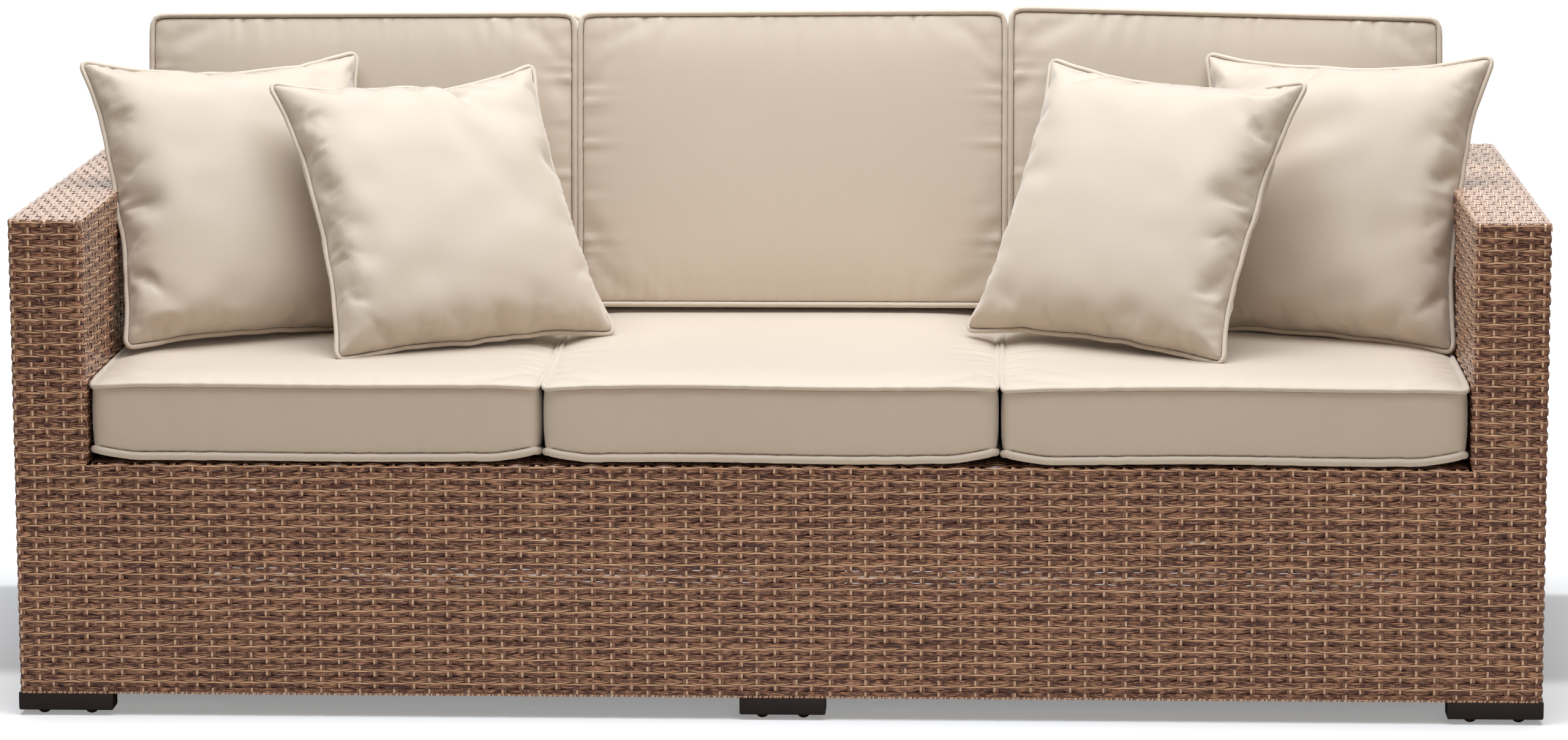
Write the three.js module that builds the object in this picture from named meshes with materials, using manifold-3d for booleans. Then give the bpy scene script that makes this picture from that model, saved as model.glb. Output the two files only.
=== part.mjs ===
// Three-seat rattan garden sofa: a box-form frame of square tube, covered in woven
// synthetic rattan, on low foot blocks, with three seat cushions, three back cushions
// and four loose pillows. Millimetres, +Z up, +X to the sitter's left, front towards -Y.
import * as THREE from 'three';
import { mergeVertices } from 'three/addons/utils/BufferGeometryUtils.js';
import Module from 'manifold-3d';

const wasm = await Module();
wasm.setup();

// Overall sizes
const overallWidth = 2000;
const overallDepth = 800;
const frameHeight = 661;
const seatHeight = 340;
const armWidth = 100;
const backWidth = 100;

// Gap between pieces that touch, and how far a cutting shape runs past its cut
const clearance = 0.3;
const overrun = 2;

// The woven covering: two courses of weave make one band that stands out as a rib
const weaveThickness = 5;
const bandHeight = 16;
const bandDepth = 1.5;
const weaveCorner = 8;
const apronReturn = 60;
const skirtBelowDeck = 30;

// Square tube of the welded frame
const tubeSize = 25;
const tubeWall = 1.5;
const drainRadius = 3;
const seatBarCount = 4;

// Foot blocks and the glides and screws under them
const footHeight = 24;
const footLeg = 125;
const footWidth = 34;
const footMiddleLength = 113;
const footMiddleShift = 8;
const footChamfer = 4;
const glideRadius = 8.5;
const glideDome = 6.4;
const glideFlatRadius = 3;
const glideStemRadius = 4;
const glideStemLength = 14;
const glideFromEnd = 31;
const glideBetween = 27;
const screwRadius = 3;
const screwHeadRadius = 6.5;
const screwHeadHeight = 4;
const fitGap = 0.4;

// Cushions: piped boxes that are crowned on both faces
const pipingRadius = 3.5;
const cushionCorner = 26;
const cushionDrawIn = 4;
const cushionSideGap = 1.6;
const cushionBetween = 1.2;
const seatCushionThickness = 104;
const seatCrown = 6;
const seatUnderCrown = 5;
const seatSideCrown = 3;
const backCushionHeight = 422;
const backCushionThickness = 148;
const backCushionLean = THREE.MathUtils.degToRad(5.1);
const backCrown = 9;
const backRearCrown = 14;
const backSideCrown = 3;

// Pillows: two faces that meet in a piped seam, with the sides drawn in between the corners
const pillowSize = 400;
const pillowThickness = 135;
const pillowDrawIn = 15;
const pillowPiping = 3;
const pillowSink = 3;

// Where each pillow stands: its place across the seat as a share of half the seat's width,
// and how it is turned, leant back and rolled, in degrees
const pillowPlaceShares = {
  pillow_left_outer: { acrossShare: -0.822, turn: 30.7, lean: 25.2, roll: 1.4 },
  pillow_left_inner: { acrossShare: -0.52, turn: 30.8, lean: 32.7, roll: -0.3 },
  pillow_right_inner: { acrossShare: 0.5256, turn: -32.9, lean: 30.2, roll: 1.1 },
  pillow_right_outer: { acrossShare: 0.8205, turn: -24, lean: 22, roll: -0.5 },
};

// Levels and planes worked out from the sizes above
const weaveBottom = glideDome + footHeight + clearance;
const frontY = -overallDepth / 2;
const rearY = overallDepth / 2;
const seatHalfWidth = overallWidth / 2 - armWidth;
const backFrontY = rearY - backWidth;
const tubeInset = weaveThickness + clearance;

const finishes = {
  weave: { color: 0x9c7c64, roughness: 0.55, metalness: 0 },
  frame: { color: 0x4a4340, roughness: 0.45, metalness: 0.6 },
  foot: { color: 0x2b2322, roughness: 0.5, metalness: 0 },
  glide: { color: 0x1c1817, roughness: 0.4, metalness: 0 },
  screw: { color: 0x8d8d8d, roughness: 0.35, metalness: 0.9 },
  fabric: { color: 0xcdbba3, roughness: 0.85, metalness: 0 },
};

const sofa = new THREE.Group();

// Adds one named piece, with its own material, to the sofa
function addPiece(name, solid, finish) {
  const geometry = solid.isBufferGeometry ? solid : geometryOf(solid);
  geometry.computeVertexNormals();
  const mesh = new THREE.Mesh(geometry, new THREE.MeshStandardMaterial(finishes[finish]));
  mesh.name = name;
  sofa.add(mesh);
  return mesh;
}

// A closed three.js geometry as a solid that can be cut and joined
function solidOf(geometry) {
  const bare = geometry.clone();
  bare.deleteAttribute('normal');
  bare.deleteAttribute('uv');
  const merged = mergeVertices(bare);
  return new wasm.Manifold(new wasm.Mesh({
    numProp: 3,
    vertProperties: new Float32Array(merged.attributes.position.array),
    triVerts: new Uint32Array(merged.index.array),
  }));
}

// A solid back as a three.js geometry
function geometryOf(solid) {
  const { vertProperties, triVerts } = solid.getMesh();
  const geometry = new THREE.BufferGeometry();
  geometry.setAttribute('position', new THREE.BufferAttribute(vertProperties, 3));
  geometry.setIndex(new THREE.BufferAttribute(triVerts, 1));
  return geometry;
}

// A box between two corners
function boxBetween(low, high) {
  const size = high.map((value, axis) => value - low[axis]);
  const geometry = new THREE.BoxGeometry(...size);
  geometry.translate(...low.map((value, axis) => value + size[axis] / 2));
  return solidOf(geometry);
}

// An upright cylinder or cone from its base
function postAt(x, y, z, topRadius, baseRadius, height, sides) {
  const geometry = new THREE.CylinderGeometry(topRadius, baseRadius, height, sides);
  geometry.rotateX(Math.PI / 2);
  geometry.translate(x, y, z + height / 2);
  return solidOf(geometry);
}

function union(solids) {
  return solids.reduce((whole, next) => whole.add(next));
}

// A closed outline of [y, z] points, swept along X from x0 to x1
function sweptAlongX(outline, x0, x1) {
  const shape = new THREE.Shape(outline.map(([y, z]) => new THREE.Vector2(y, z)));
  const geometry = new THREE.ExtrudeGeometry(shape, { depth: x1 - x0, bevelEnabled: false });
  geometry.applyMatrix4(new THREE.Matrix4().set(
    0, 0, 1, x0,
    1, 0, 0, 0,
    0, 1, 0, 0,
    0, 0, 0, 1,
  ));
  return solidOf(geometry);
}

// A closed outline of [x, z] points, swept along Y from y0 to y1
function sweptAlongY(outline, y0, y1) {
  const shape = new THREE.Shape(outline.map(([x, z]) => new THREE.Vector2(x, z)));
  const geometry = new THREE.ExtrudeGeometry(shape, { depth: y1 - y0, bevelEnabled: false });
  geometry.applyMatrix4(new THREE.Matrix4().set(
    1, 0, 0, 0,
    0, 0, -1, y1,
    0, 1, 0, 0,
    0, 0, 0, 1,
  ));
  return solidOf(geometry);
}

// Steps of half a band from start to end, each with how deep the weave lies there
function bandSteps(start, end) {
  const length = Math.abs(end - start);
  const halves = 2 * Math.max(1, Math.round(length / bandHeight));
  const steps = [];
  for (let step = 0; step <= halves; step += 1) {
    const at = start + (end - start) * (step / halves);
    steps.push({ at, depth: step % 2 ? 0 : bandDepth });
  }
  return steps;
}

// How deep the weave lies at a height on a wall, whose bands all start at the bottom edge
function wallDepthAt(z) {
  const phase = ((z - weaveBottom) / bandHeight) % 1;
  return bandDepth * Math.abs(1 - 2 * phase);
}

// The ends of a stretch of wall, and the crests and valleys of its bands in between
function wallSteps(start, end) {
  const [low, high] = [Math.min(start, end), Math.max(start, end)];
  const sliver = bandHeight / 8;
  const levels = [low];
  const half = bandHeight / 2;
  const first = Math.ceil((low + sliver - weaveBottom) / half);
  for (let z = weaveBottom + first * half; z < high - sliver; z += half) {
    levels.push(z);
  }
  levels.push(high);
  const steps = levels.map((at) => ({ at, depth: wallDepthAt(at) }));
  return start < end ? steps : steps.reverse();
}

// Closed rings of points, one above the other, joined into a skin and closed at both ends
function loftOf(rings) {
  const perRing = rings[0].length;
  const points = rings.flat();
  const triangles = [];
  for (let ring = 0; ring + 1 < rings.length; ring += 1) {
    for (let side = 0; side < perRing; side += 1) {
      const next = (side + 1) % perRing;
      const a = ring * perRing + side;
      const b = ring * perRing + next;
      triangles.push(a, b, b + perRing, a, b + perRing, a + perRing);
    }
  }
  const closeEnd = (first, upwards) => {
    const centre = new THREE.Vector3();
    for (let side = 0; side < perRing; side += 1) {
      centre.addScaledVector(points[first + side], 1 / perRing);
    }
    points.push(centre);
    const middle = points.length - 1;
    for (let side = 0; side < perRing; side += 1) {
      const a = first + side;
      const b = first + (side + 1) % perRing;
      triangles.push(...(upwards ? [a, b, middle] : [b, a, middle]));
    }
  };
  closeEnd(0, false);
  closeEnd((rings.length - 1) * perRing, true);
  const geometry = new THREE.BufferGeometry().setFromPoints(points);
  geometry.setIndex(triangles);
  return geometry;
}

// A block whose four upright sides are banded, with two of its upright corners cut away
function bandedBlock({ innerX, outerX, y0, y1, z0, z1 }) {
  const outwards = Math.sign(outerX - innerX);
  const rings = wallSteps(z0, z1).map(({ at, depth }) => {
    const inner = innerX + outwards * depth;
    const outer = outerX - outwards * depth;
    const front = y0 + depth;
    const rear = y1 - depth;
    const cut = outwards * weaveCorner;
    const ring = [
      [inner, front],
      [outer - cut, front],
      [outer, front + weaveCorner],
      [outer, rear - weaveCorner],
      [outer - cut, rear],
      [inner, rear],
    ];
    return ring.map(([x, y]) => new THREE.Vector3(x, y, at));
  });
  if (outwards < 0) {
    rings.forEach((ring) => ring.reverse());
  }
  return solidOf(loftOf(rings));
}

// The banded crown of a wall seen end on: [across, z] points from one side to the other
function crownOutline(low, high, base, top) {
  const steps = bandSteps(low + weaveCorner, high - weaveCorner);
  return [
    [low, base],
    [high, base],
    [high, top - weaveCorner],
    ...steps.reverse().map(({ at, depth }) => [at, top - depth]),
    [low, top - weaveCorner],
  ];
}

// A woven arm: walls, top and the hem that turns in round the bottom rails. Its inner wall
// stops below the deck, where the tubes of arm and seat meet
function wovenArm(side) {
  const outerX = side * overallWidth / 2;
  const innerX = side * seatHalfWidth;
  const [lowX, highX] = [Math.min(innerX, outerX), Math.max(innerX, outerX)];
  const past = [lowX - overrun, highX + overrun];
  const body = bandedBlock({
    innerX, outerX, y0: frontY, y1: rearY, z0: weaveBottom, z1: frameHeight + overrun,
  })
    .intersect(sweptAlongY(
      crownOutline(lowX, highX, weaveBottom - overrun, frameHeight),
      frontY - overrun,
      rearY + overrun,
    ))
    .intersect(sweptAlongX([
      [frontY - overrun, weaveBottom - overrun],
      [rearY + overrun, weaveBottom - overrun],
      [rearY + overrun, frameHeight - weaveCorner - overrun],
      [rearY - weaveCorner, frameHeight + overrun / 2],
      [frontY + weaveCorner, frameHeight + overrun / 2],
      [frontY - overrun, frameHeight - weaveCorner - overrun],
    ], ...past));
  const inside = {
    low: [lowX + weaveThickness, frontY + weaveThickness],
    high: [highX - weaveThickness, rearY - weaveThickness],
  };
  const hollow = boxBetween(
    [...inside.low, weaveBottom + weaveThickness],
    [...inside.high, frameHeight - weaveThickness],
  );
  const hem = tubeSize + clearance;
  const underside = boxBetween(
    [side > 0 ? lowX - overrun : inside.low[0] + hem, inside.low[1] + hem, weaveBottom - overrun],
    [side > 0 ? inside.high[0] - hem : highX + overrun, inside.high[1] - hem,
      weaveBottom + weaveThickness + overrun],
  );
  const besideSeat = boxBetween(
    [innerX - weaveThickness - overrun, inside.low[1], weaveBottom + weaveThickness],
    [innerX + weaveThickness + overrun, inside.high[1], seatHeight - skirtBelowDeck],
  );
  const besideBack = boxBetween(
    [innerX - weaveThickness - overrun, backFrontY + weaveThickness, weaveBottom + weaveThickness],
    [innerX + weaveThickness + overrun, inside.high[1], frameHeight - weaveThickness],
  );
  return body.subtract(hollow).subtract(underside).subtract(besideSeat).subtract(besideBack);
}

// The woven back between the arms: rear face, top, front face down to below the deck, hem
function wovenBack() {
  const insideRear = rearY - weaveThickness;
  const insideFront = backFrontY + weaveThickness;
  const skirt = seatHeight - skirtBelowDeck;
  const rear = wallSteps(weaveBottom, frameHeight - weaveCorner);
  const top = bandSteps(rearY - weaveCorner, backFrontY + weaveCorner);
  const front = wallSteps(frameHeight - weaveCorner, skirt);
  const outline = [
    ...rear.map(({ at, depth }) => [rearY - depth, at]),
    ...top.map(({ at, depth }) => [at, frameHeight - depth]),
    ...front.map(({ at, depth }) => [backFrontY + depth, at]),
    [insideFront, skirt],
    [insideFront, frameHeight - weaveThickness],
    [insideRear, frameHeight - weaveThickness],
    [insideRear, weaveBottom + weaveThickness],
    [insideRear - tubeSize - clearance, weaveBottom + weaveThickness],
    [insideRear - tubeSize - clearance, weaveBottom],
  ];
  return sweptAlongX(outline, -seatHalfWidth + clearance, seatHalfWidth - clearance);
}

// The woven apron: front face, the return over the seat rail, hem round the bottom rail
function wovenApron() {
  const insideFront = frontY + weaveThickness;
  const outline = [
    [insideFront + tubeSize + clearance, weaveBottom],
    [insideFront + tubeSize + clearance, weaveBottom + weaveThickness],
    [insideFront, weaveBottom + weaveThickness],
    [insideFront, seatHeight - weaveThickness],
    [frontY + apronReturn, seatHeight - weaveThickness],
    [frontY + apronReturn, seatHeight],
    [frontY + weaveCorner, seatHeight],
    ...wallSteps(seatHeight - weaveCorner, weaveBottom).map(({ at, depth }) => [frontY + depth, at]),
  ];
  return sweptAlongX(outline, -seatHalfWidth + clearance, seatHalfWidth - clearance);
}

// The woven deck that carries the seat cushions, from the apron's return to the back
function wovenDeck() {
  const front = frontY + apronReturn + clearance;
  const rear = backFrontY - clearance;
  const outline = [
    [front, seatHeight - weaveThickness],
    [rear, seatHeight - weaveThickness],
    ...bandSteps(rear, front).map(({ at, depth }) => [at, seatHeight - depth]),
  ];
  return sweptAlongX(outline, -seatHalfWidth + clearance, seatHalfWidth - clearance);
}

// Square tubes welded into one hollow frame. Each bar is a pair of corners and runs to the
// far side of the bar that it joins, so that the hollows meet, and one hole drains them
function weldedFrame(bars, drainAt) {
  const outside = union(bars.map(([low, high]) => boxBetween(low, high)));
  const inside = union(bars.map(([low, high]) => boxBetween(
    low.map((value) => value + tubeWall),
    high.map((value) => value - tubeWall),
  )));
  const drain = postAt(...drainAt, drainRadius, drainRadius, 2 * tubeWall + overrun, 8);
  return outside.subtract(inside).subtract(drain);
}

const railBottom = weaveBottom + tubeInset;
const railTop = frameHeight - tubeInset;
const seatRailTop = seatHeight - tubeInset;
const frameFront = frontY + tubeInset;
const frameRear = rearY - tubeInset;

// The frame inside an arm: four uprights, rails below and above, and the rail beside the seat
function armFrame(side) {
  const at = (distance) => side * distance;
  const outer = [overallWidth / 2 - tubeInset - tubeSize, overallWidth / 2 - tubeInset];
  const inner = [seatHalfWidth + tubeInset, seatHalfWidth + tubeInset + tubeSize];
  const bar = ([x0, x1], [y0, y1], [z0, z1]) => {
    const [low, high] = [at(x0), at(x1)].sort((a, b) => a - b);
    return [[low, y0, z0], [high, y1, z1]];
  };
  const front = [frameFront, frameFront + tubeSize];
  const rear = [frameRear - tubeSize, frameRear];
  const along = [frameFront, frameRear];
  const tall = [railBottom, railTop];
  const across = [inner[0], outer[1]];
  const bottom = [railBottom, railBottom + tubeSize];
  const top = [railTop - tubeSize, railTop];
  const bars = [
    bar(outer, front, tall),
    bar(outer, rear, tall),
    bar(inner, front, tall),
    bar(inner, rear, tall),
    bar(outer, along, bottom),
    bar(outer, along, top),
    bar(inner, along, top),
    bar(inner, along, [seatRailTop - tubeSize, seatRailTop]),
    bar(across, front, bottom),
    bar(across, rear, bottom),
    bar(across, front, top),
    bar(across, rear, top),
  ];
  const drainX = at(outer[0] + tubeSize / 2);
  return weldedFrame(bars, [drainX, frontY + overallDepth / 3, railBottom - tubeWall]);
}

// The upright frame between the arms inside the back
function backFrame() {
  const halfX = seatHalfWidth + tubeInset - clearance;
  const rear = [frameRear - tubeSize, frameRear];
  const front = [backFrontY + tubeInset, backFrontY + tubeInset + tubeSize];
  const bars = [
    [[-halfX, rear[0], railBottom], [halfX, rear[1], railBottom + tubeSize]],
    [[-halfX, rear[0], railTop - tubeSize], [halfX, rear[1], railTop]],
    [[-halfX, front[0], railTop - tubeSize], [halfX, front[1], railTop]],
    [[-halfX, front[0], seatRailTop - tubeSize], [halfX, front[1], seatRailTop]],
  ];
  for (const share of [-1, 0, 1]) {
    const x = share * (halfX - tubeSize / 2);
    const [low, high] = [x - tubeSize / 2, x + tubeSize / 2];
    bars.push(
      [[low, rear[0], railBottom], [high, rear[1], railTop]],
      [[low, front[0], seatRailTop - tubeSize], [high, front[1], railTop]],
      [[low, front[0], railTop - tubeSize], [high, rear[1], railTop]],
      [[low, front[0], seatRailTop - tubeSize], [high, rear[1], seatRailTop]],
    );
  }
  const drainAt = [halfX / 2, frameRear - tubeSize / 2, railBottom - tubeWall];
  return weldedFrame(bars, drainAt);
}

// The frame behind the apron: bottom rail, three uprights and the foot of the seat rail
function apronFrame() {
  const halfX = seatHalfWidth - clearance;
  const toArm = seatHalfWidth + tubeInset - clearance;
  const depth = [frameFront, frameFront + tubeSize];
  const bars = [
    [[-toArm, depth[0], railBottom], [toArm, depth[1], railBottom + tubeSize]],
    [[-halfX, depth[0], seatRailTop - tubeSize], [halfX, depth[1], seatRailTop]],
  ];
  for (const share of [-1 / 3, 0, 1 / 3]) {
    const x = share * 2 * halfX;
    bars.push([
      [x - tubeSize / 2, depth[0], railBottom],
      [x + tubeSize / 2, depth[1], seatRailTop],
    ]);
  }
  const drainAt = [halfX / 2, frameFront + tubeSize / 2, railBottom - tubeWall];
  return weldedFrame(bars, drainAt);
}

// The flat frame under the deck: rails at the sides and rear, and bars from front to rear
function seatFrame() {
  const halfX = seatHalfWidth - clearance;
  const front = frameFront + tubeSize + clearance;
  const rear = backFrontY - clearance;
  const level = [seatRailTop - tubeSize, seatRailTop];
  const bars = [
    [[-halfX, rear - tubeSize, level[0]], [halfX, rear, level[1]]],
    [[-halfX, front, level[0]], [halfX, front + tubeSize, level[1]]],
  ];
  const spans = seatBarCount + 1;
  for (let bar = 0; bar <= spans; bar += 1) {
    const low = -halfX + (2 * halfX - tubeSize) * (bar / spans);
    bars.push([[low, front, level[0]], [low + tubeSize, rear, level[1]]]);
  }
  const drainAt = [-halfX + tubeSize / 2, (front + rear) / 2, level[0] - tubeWall];
  return weldedFrame(bars, drainAt);
}

// A dome glide with the stem that plugs into its foot block
function glideAt(x, y) {
  const profile = [[0, 0], [glideFlatRadius, 0]];
  const domeSteps = 2;
  for (let step = 1; step <= domeSteps; step += 1) {
    const angle = (step / domeSteps) * (Math.PI / 2);
    const widen = (glideRadius - glideFlatRadius) * Math.sin(angle);
    profile.push([glideFlatRadius + widen, glideDome * (1 - Math.cos(angle))]);
  }
  profile.push([glideStemRadius, glideDome]);
  profile.push([glideStemRadius, glideDome + glideStemLength]);
  profile.push([0, glideDome + glideStemLength]);
  const points = profile.map(([radius, z]) => new THREE.Vector2(radius, z));
  const geometry = new THREE.LatheGeometry(points, 8);
  geometry.rotateX(Math.PI / 2);
  geometry.translate(x, y, 0);
  return solidOf(geometry);
}

// A countersunk screw that holds a foot block up against the bottom rail
function screwAt(x, y) {
  const base = glideDome + footHeight / 3;
  const head = postAt(x, y, base, screwHeadRadius, screwHeadRadius, screwHeadHeight, 8);
  const shankTop = railBottom + tubeWall + screwRadius;
  const shank = postAt(x, y, base, screwRadius, screwRadius, shankTop - base, 6);
  return head.add(shank);
}

// What is cut from a foot block, a hem or a rail for the shank and head of a screw
function screwHoleAt(x, y) {
  const base = glideDome + footHeight / 3;
  const shank = postAt(
    x, y, base, screwRadius + fitGap, screwRadius + fitGap, railBottom + tubeSize / 2 - base, 6,
  );
  const headRoom = screwHeadHeight + clearance;
  const radius = screwHeadRadius + fitGap;
  const well = postAt(x, y, glideDome - overrun, radius, radius, base - glideDome + overrun + headRoom, 8);
  return shank.add(well);
}

// A foot block from its plan outline, chamfered round its lower edge
function footFrom(outline, glides, screws) {
  const shape = new THREE.Shape(outline.map(([x, y]) => new THREE.Vector2(x, y)));
  const geometry = new THREE.ExtrudeGeometry(shape, {
    depth: footHeight - footChamfer,
    bevelThickness: footChamfer,
    bevelSize: footChamfer,
    bevelOffset: -footChamfer,
    bevelSegments: 1,
  });
  geometry.translate(0, 0, glideDome + clearance + footChamfer);
  const block = solidOf(geometry).intersect(boxBetween(
    [-overallWidth, -overallDepth, 0],
    [overallWidth, overallDepth, weaveBottom - clearance],
  ));
  const bores = glides.map(([x, y]) => postAt(
    x, y, glideDome - overrun, glideStemRadius + fitGap, glideStemRadius + fitGap,
    glideStemLength + overrun + fitGap, 8,
  ));
  const holes = screws.map(([x, y]) => screwHoleAt(x, y));
  return block.subtract(union([...bores, ...holes]));
}

// Corner feet are L-shaped, with two glides and a screw on the front leg and one of each on
// the side leg; the feet at mid width are plain bars
const feet = [];
for (const [sideName, side] of [['left', -1], ['right', 1]]) {
  for (const [endName, end] of [['front', -1], ['rear', 1]]) {
    const place = ([across, along]) => [
      side * (overallWidth / 2 - across),
      end * (overallDepth / 2 - along),
    ];
    const outline = [
      [0, 0], [footLeg, 0], [footLeg, footWidth], [footWidth, footWidth], [footWidth, footLeg],
      [0, footLeg],
    ].map(place);
    const middle = footWidth / 2;
    feet.push({
      name: `${endName}_${sideName}`,
      outline: side * end > 0 ? outline : outline.reverse(),
      glides: [
        [glideFromEnd, middle], [footLeg - glideFromEnd, middle], [middle, footLeg - glideFromEnd * 2],
      ].map(place),
      screws: [[footLeg / 2, middle], [middle, footLeg - glideFromEnd / 2]].map(place),
    });
  }
}
for (const [endName, end] of [['front', -1], ['rear', 1]]) {
  const outerY = end * overallDepth / 2;
  const innerY = end * (overallDepth / 2 - footWidth);
  const [low, high] = [Math.min(outerY, innerY), Math.max(outerY, innerY)];
  const half = footMiddleLength / 2;
  const middleY = (outerY + innerY) / 2;
  feet.push({
    name: `${endName}_middle`,
    outline: [[-half, low], [half, low], [half, high], [-half, high]].map(
      ([x, y]) => [x + footMiddleShift, y],
    ),
    glides: [-1, 1].map((way) => [footMiddleShift + way * glideBetween, middleY]),
    screws: [[footMiddleShift, middleY]],
  });
}

// Everything that the screws go through is cut by the same holes
const screwHoles = feet.flatMap(({ screws }) => screws.map(([x, y]) => screwHoleAt(x, y)));
const drilled = (solid) => screwHoles.reduce((whole, hole) => whole.subtract(hole), solid);

addPiece('left_arm_frame', drilled(armFrame(-1)), 'frame');
addPiece('right_arm_frame', drilled(armFrame(1)), 'frame');
addPiece('back_frame', drilled(backFrame()), 'frame');
addPiece('apron_frame', drilled(apronFrame()), 'frame');
addPiece('seat_frame', seatFrame(), 'frame');
addPiece('left_arm_weave', drilled(wovenArm(-1)), 'weave');
addPiece('right_arm_weave', drilled(wovenArm(1)), 'weave');
addPiece('back_weave', drilled(wovenBack()), 'weave');
addPiece('apron_weave', drilled(wovenApron()), 'weave');
addPiece('seat_deck', wovenDeck(), 'weave');

for (const { name, outline, glides, screws } of feet) {
  addPiece(`foot_${name}`, footFrom(outline, glides, screws), 'foot');
  glides.forEach(([x, y], index) => {
    addPiece(`glide_${name}_${index + 1}`, glideAt(x, y), 'glide');
  });
  screws.forEach(([x, y], index) => {
    addPiece(`screw_${name}_${index + 1}`, screwAt(x, y), 'screw');
  });
}

// Points round a cushion's seam on a square from -1 to 1, and how far along its side each is
const sideStepShares = [-0.5, 0, 0.5];
function seamPoints(cornerShare) {
  const points = [];
  const turns = [[1, 0], [0, 1], [-1, 0], [0, -1]];
  for (const [cos, sin] of turns) {
    const steps = [cornerShare - 1, ...sideStepShares, 1 - cornerShare];
    for (const along of steps) {
      points.push({ x: cos + along * -sin, y: sin + along * cos, along });
    }
  }
  return points;
}

// A piped box cushion that lies on its face about its own centre
function boxCushion({ width, depth, thickness, topCrown, underCrown, sideCrown }) {
  const halfX = width / 2 - pipingRadius;
  const halfY = depth / 2 - pipingRadius;
  const cornerShare = cushionCorner / Math.min(halfX, halfY);
  const seam = seamPoints(cornerShare);
  const seamZ = thickness / 2 - pipingRadius;
  const ringAt = (scale, outset, zOf) => seam.map(({ x, y, along }) => {
    const drawn = outset - cushionDrawIn * (1 - along * along);
    const px = scale * (x * halfX + Math.sign(x) * (Math.abs(x) > 1 - cornerShare / 2 ? drawn : 0));
    const py = scale * (y * halfY + Math.sign(y) * (Math.abs(y) > 1 - cornerShare / 2 ? drawn : 0));
    return new THREE.Vector3(px, py, zOf(scale * x, scale * y));
  });
  const level = (z) => () => z;
  const crowned = (crown, base) => (u, v) => base + crown * (1 - u ** 6) * (1 - v ** 6);
  const faceScales = [0.55, 0.82, 0.95];
  const piping = (z) => [
    ringAt(1, 0, level(z - pipingRadius)),
    ringAt(1, pipingRadius, level(z)),
    ringAt(1, 0, level(z + pipingRadius)),
  ];
  return loftOf([
    ...faceScales.map((scale) => ringAt(scale, 0, crowned(-underCrown - pipingRadius, -seamZ))),
    ...piping(-seamZ),
    ringAt(1, sideCrown, level(0)),
    ...piping(seamZ),
    ...faceScales.reverse().map((scale) => ringAt(scale, 0, crowned(topCrown + pipingRadius, seamZ))),
  ]);
}

// A knife-edged pillow that lies on its face about its own centre
function pillow() {
  const half = pillowSize / 2;
  const seam = seamPoints(0).filter((point, index) => index % 5 !== 4);
  const ringAt = (scale, outset, zOf) => seam.map(({ x, y, along }) => {
    const drawn = outset - pillowDrawIn * (1 - along * along);
    const px = scale * (x * half + (Math.abs(x) === 1 ? x * drawn : 0));
    const py = scale * (y * half + (Math.abs(y) === 1 ? y * drawn : 0));
    return new THREE.Vector3(px, py, zOf(scale * x, scale * y));
  });
  const swollen = (side) => (u, v) => (
    side * (pillowPiping + (pillowThickness / 2 - pillowPiping) * ((1 - u * u) * (1 - v * v)) ** 0.5)
  );
  const faceScales = [0.32, 0.6, 0.82, 0.94];
  const level = (z) => () => z;
  return loftOf([
    ...faceScales.map((scale) => ringAt(scale, 0, swollen(-1))),
    ringAt(1, -pillowPiping, level(-pillowPiping)),
    ringAt(1, 0, level(0)),
    ringAt(1, -pillowPiping, level(pillowPiping)),
    ...faceScales.reverse().map((scale) => ringAt(scale, 0, swollen(1))),
  ]);
}

// The lowest and highest corners of a geometry
function cornersOf(geometry) {
  geometry.computeBoundingBox();
  return geometry.boundingBox;
}

// Seat cushions side by side on the deck, from the apron's edge to the back
const seatCushionWidth = (2 * (seatHalfWidth - cushionSideGap) - 2 * cushionBetween) / 3;
const seatCushionDepth = backFrontY - clearance - frontY;
const seatCushion = boxCushion({
  width: seatCushionWidth,
  depth: seatCushionDepth,
  thickness: seatCushionThickness,
  topCrown: seatCrown,
  underCrown: seatUnderCrown,
  sideCrown: seatSideCrown,
});
const seatCushionZ = seatHeight + clearance - cornersOf(seatCushion).min.z;
const cushionNames = ['left', 'middle', 'right'];
const cushionPlaces = [-1, 0, 1].map((place) => place * (seatCushionWidth + cushionBetween));
cushionNames.forEach((name, index) => {
  const piece = addPiece(`seat_cushion_${name}`, seatCushion.clone(), 'fabric');
  piece.position.set(cushionPlaces[index], (frontY + backFrontY - clearance) / 2, seatCushionZ);
});

// What stands on the seat is cut level, just above the seat cushions' highest point
const standLevel = seatCushionZ + cornersOf(seatCushion).max.z + clearance;
const belowStandLevel = boxBetween(
  [-overallWidth, -overallDepth, -frameHeight],
  [overallWidth, overallDepth, standLevel],
);

// How far to move a geometry along Y so that none of its points passes the plane given
function reachTo(geometry, planeAt) {
  const places = geometry.attributes.position;
  let move = Infinity;
  for (let index = 0; index < places.count; index += 1) {
    move = Math.min(move, planeAt(places.getZ(index)) - places.getY(index));
  }
  return move;
}

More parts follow.
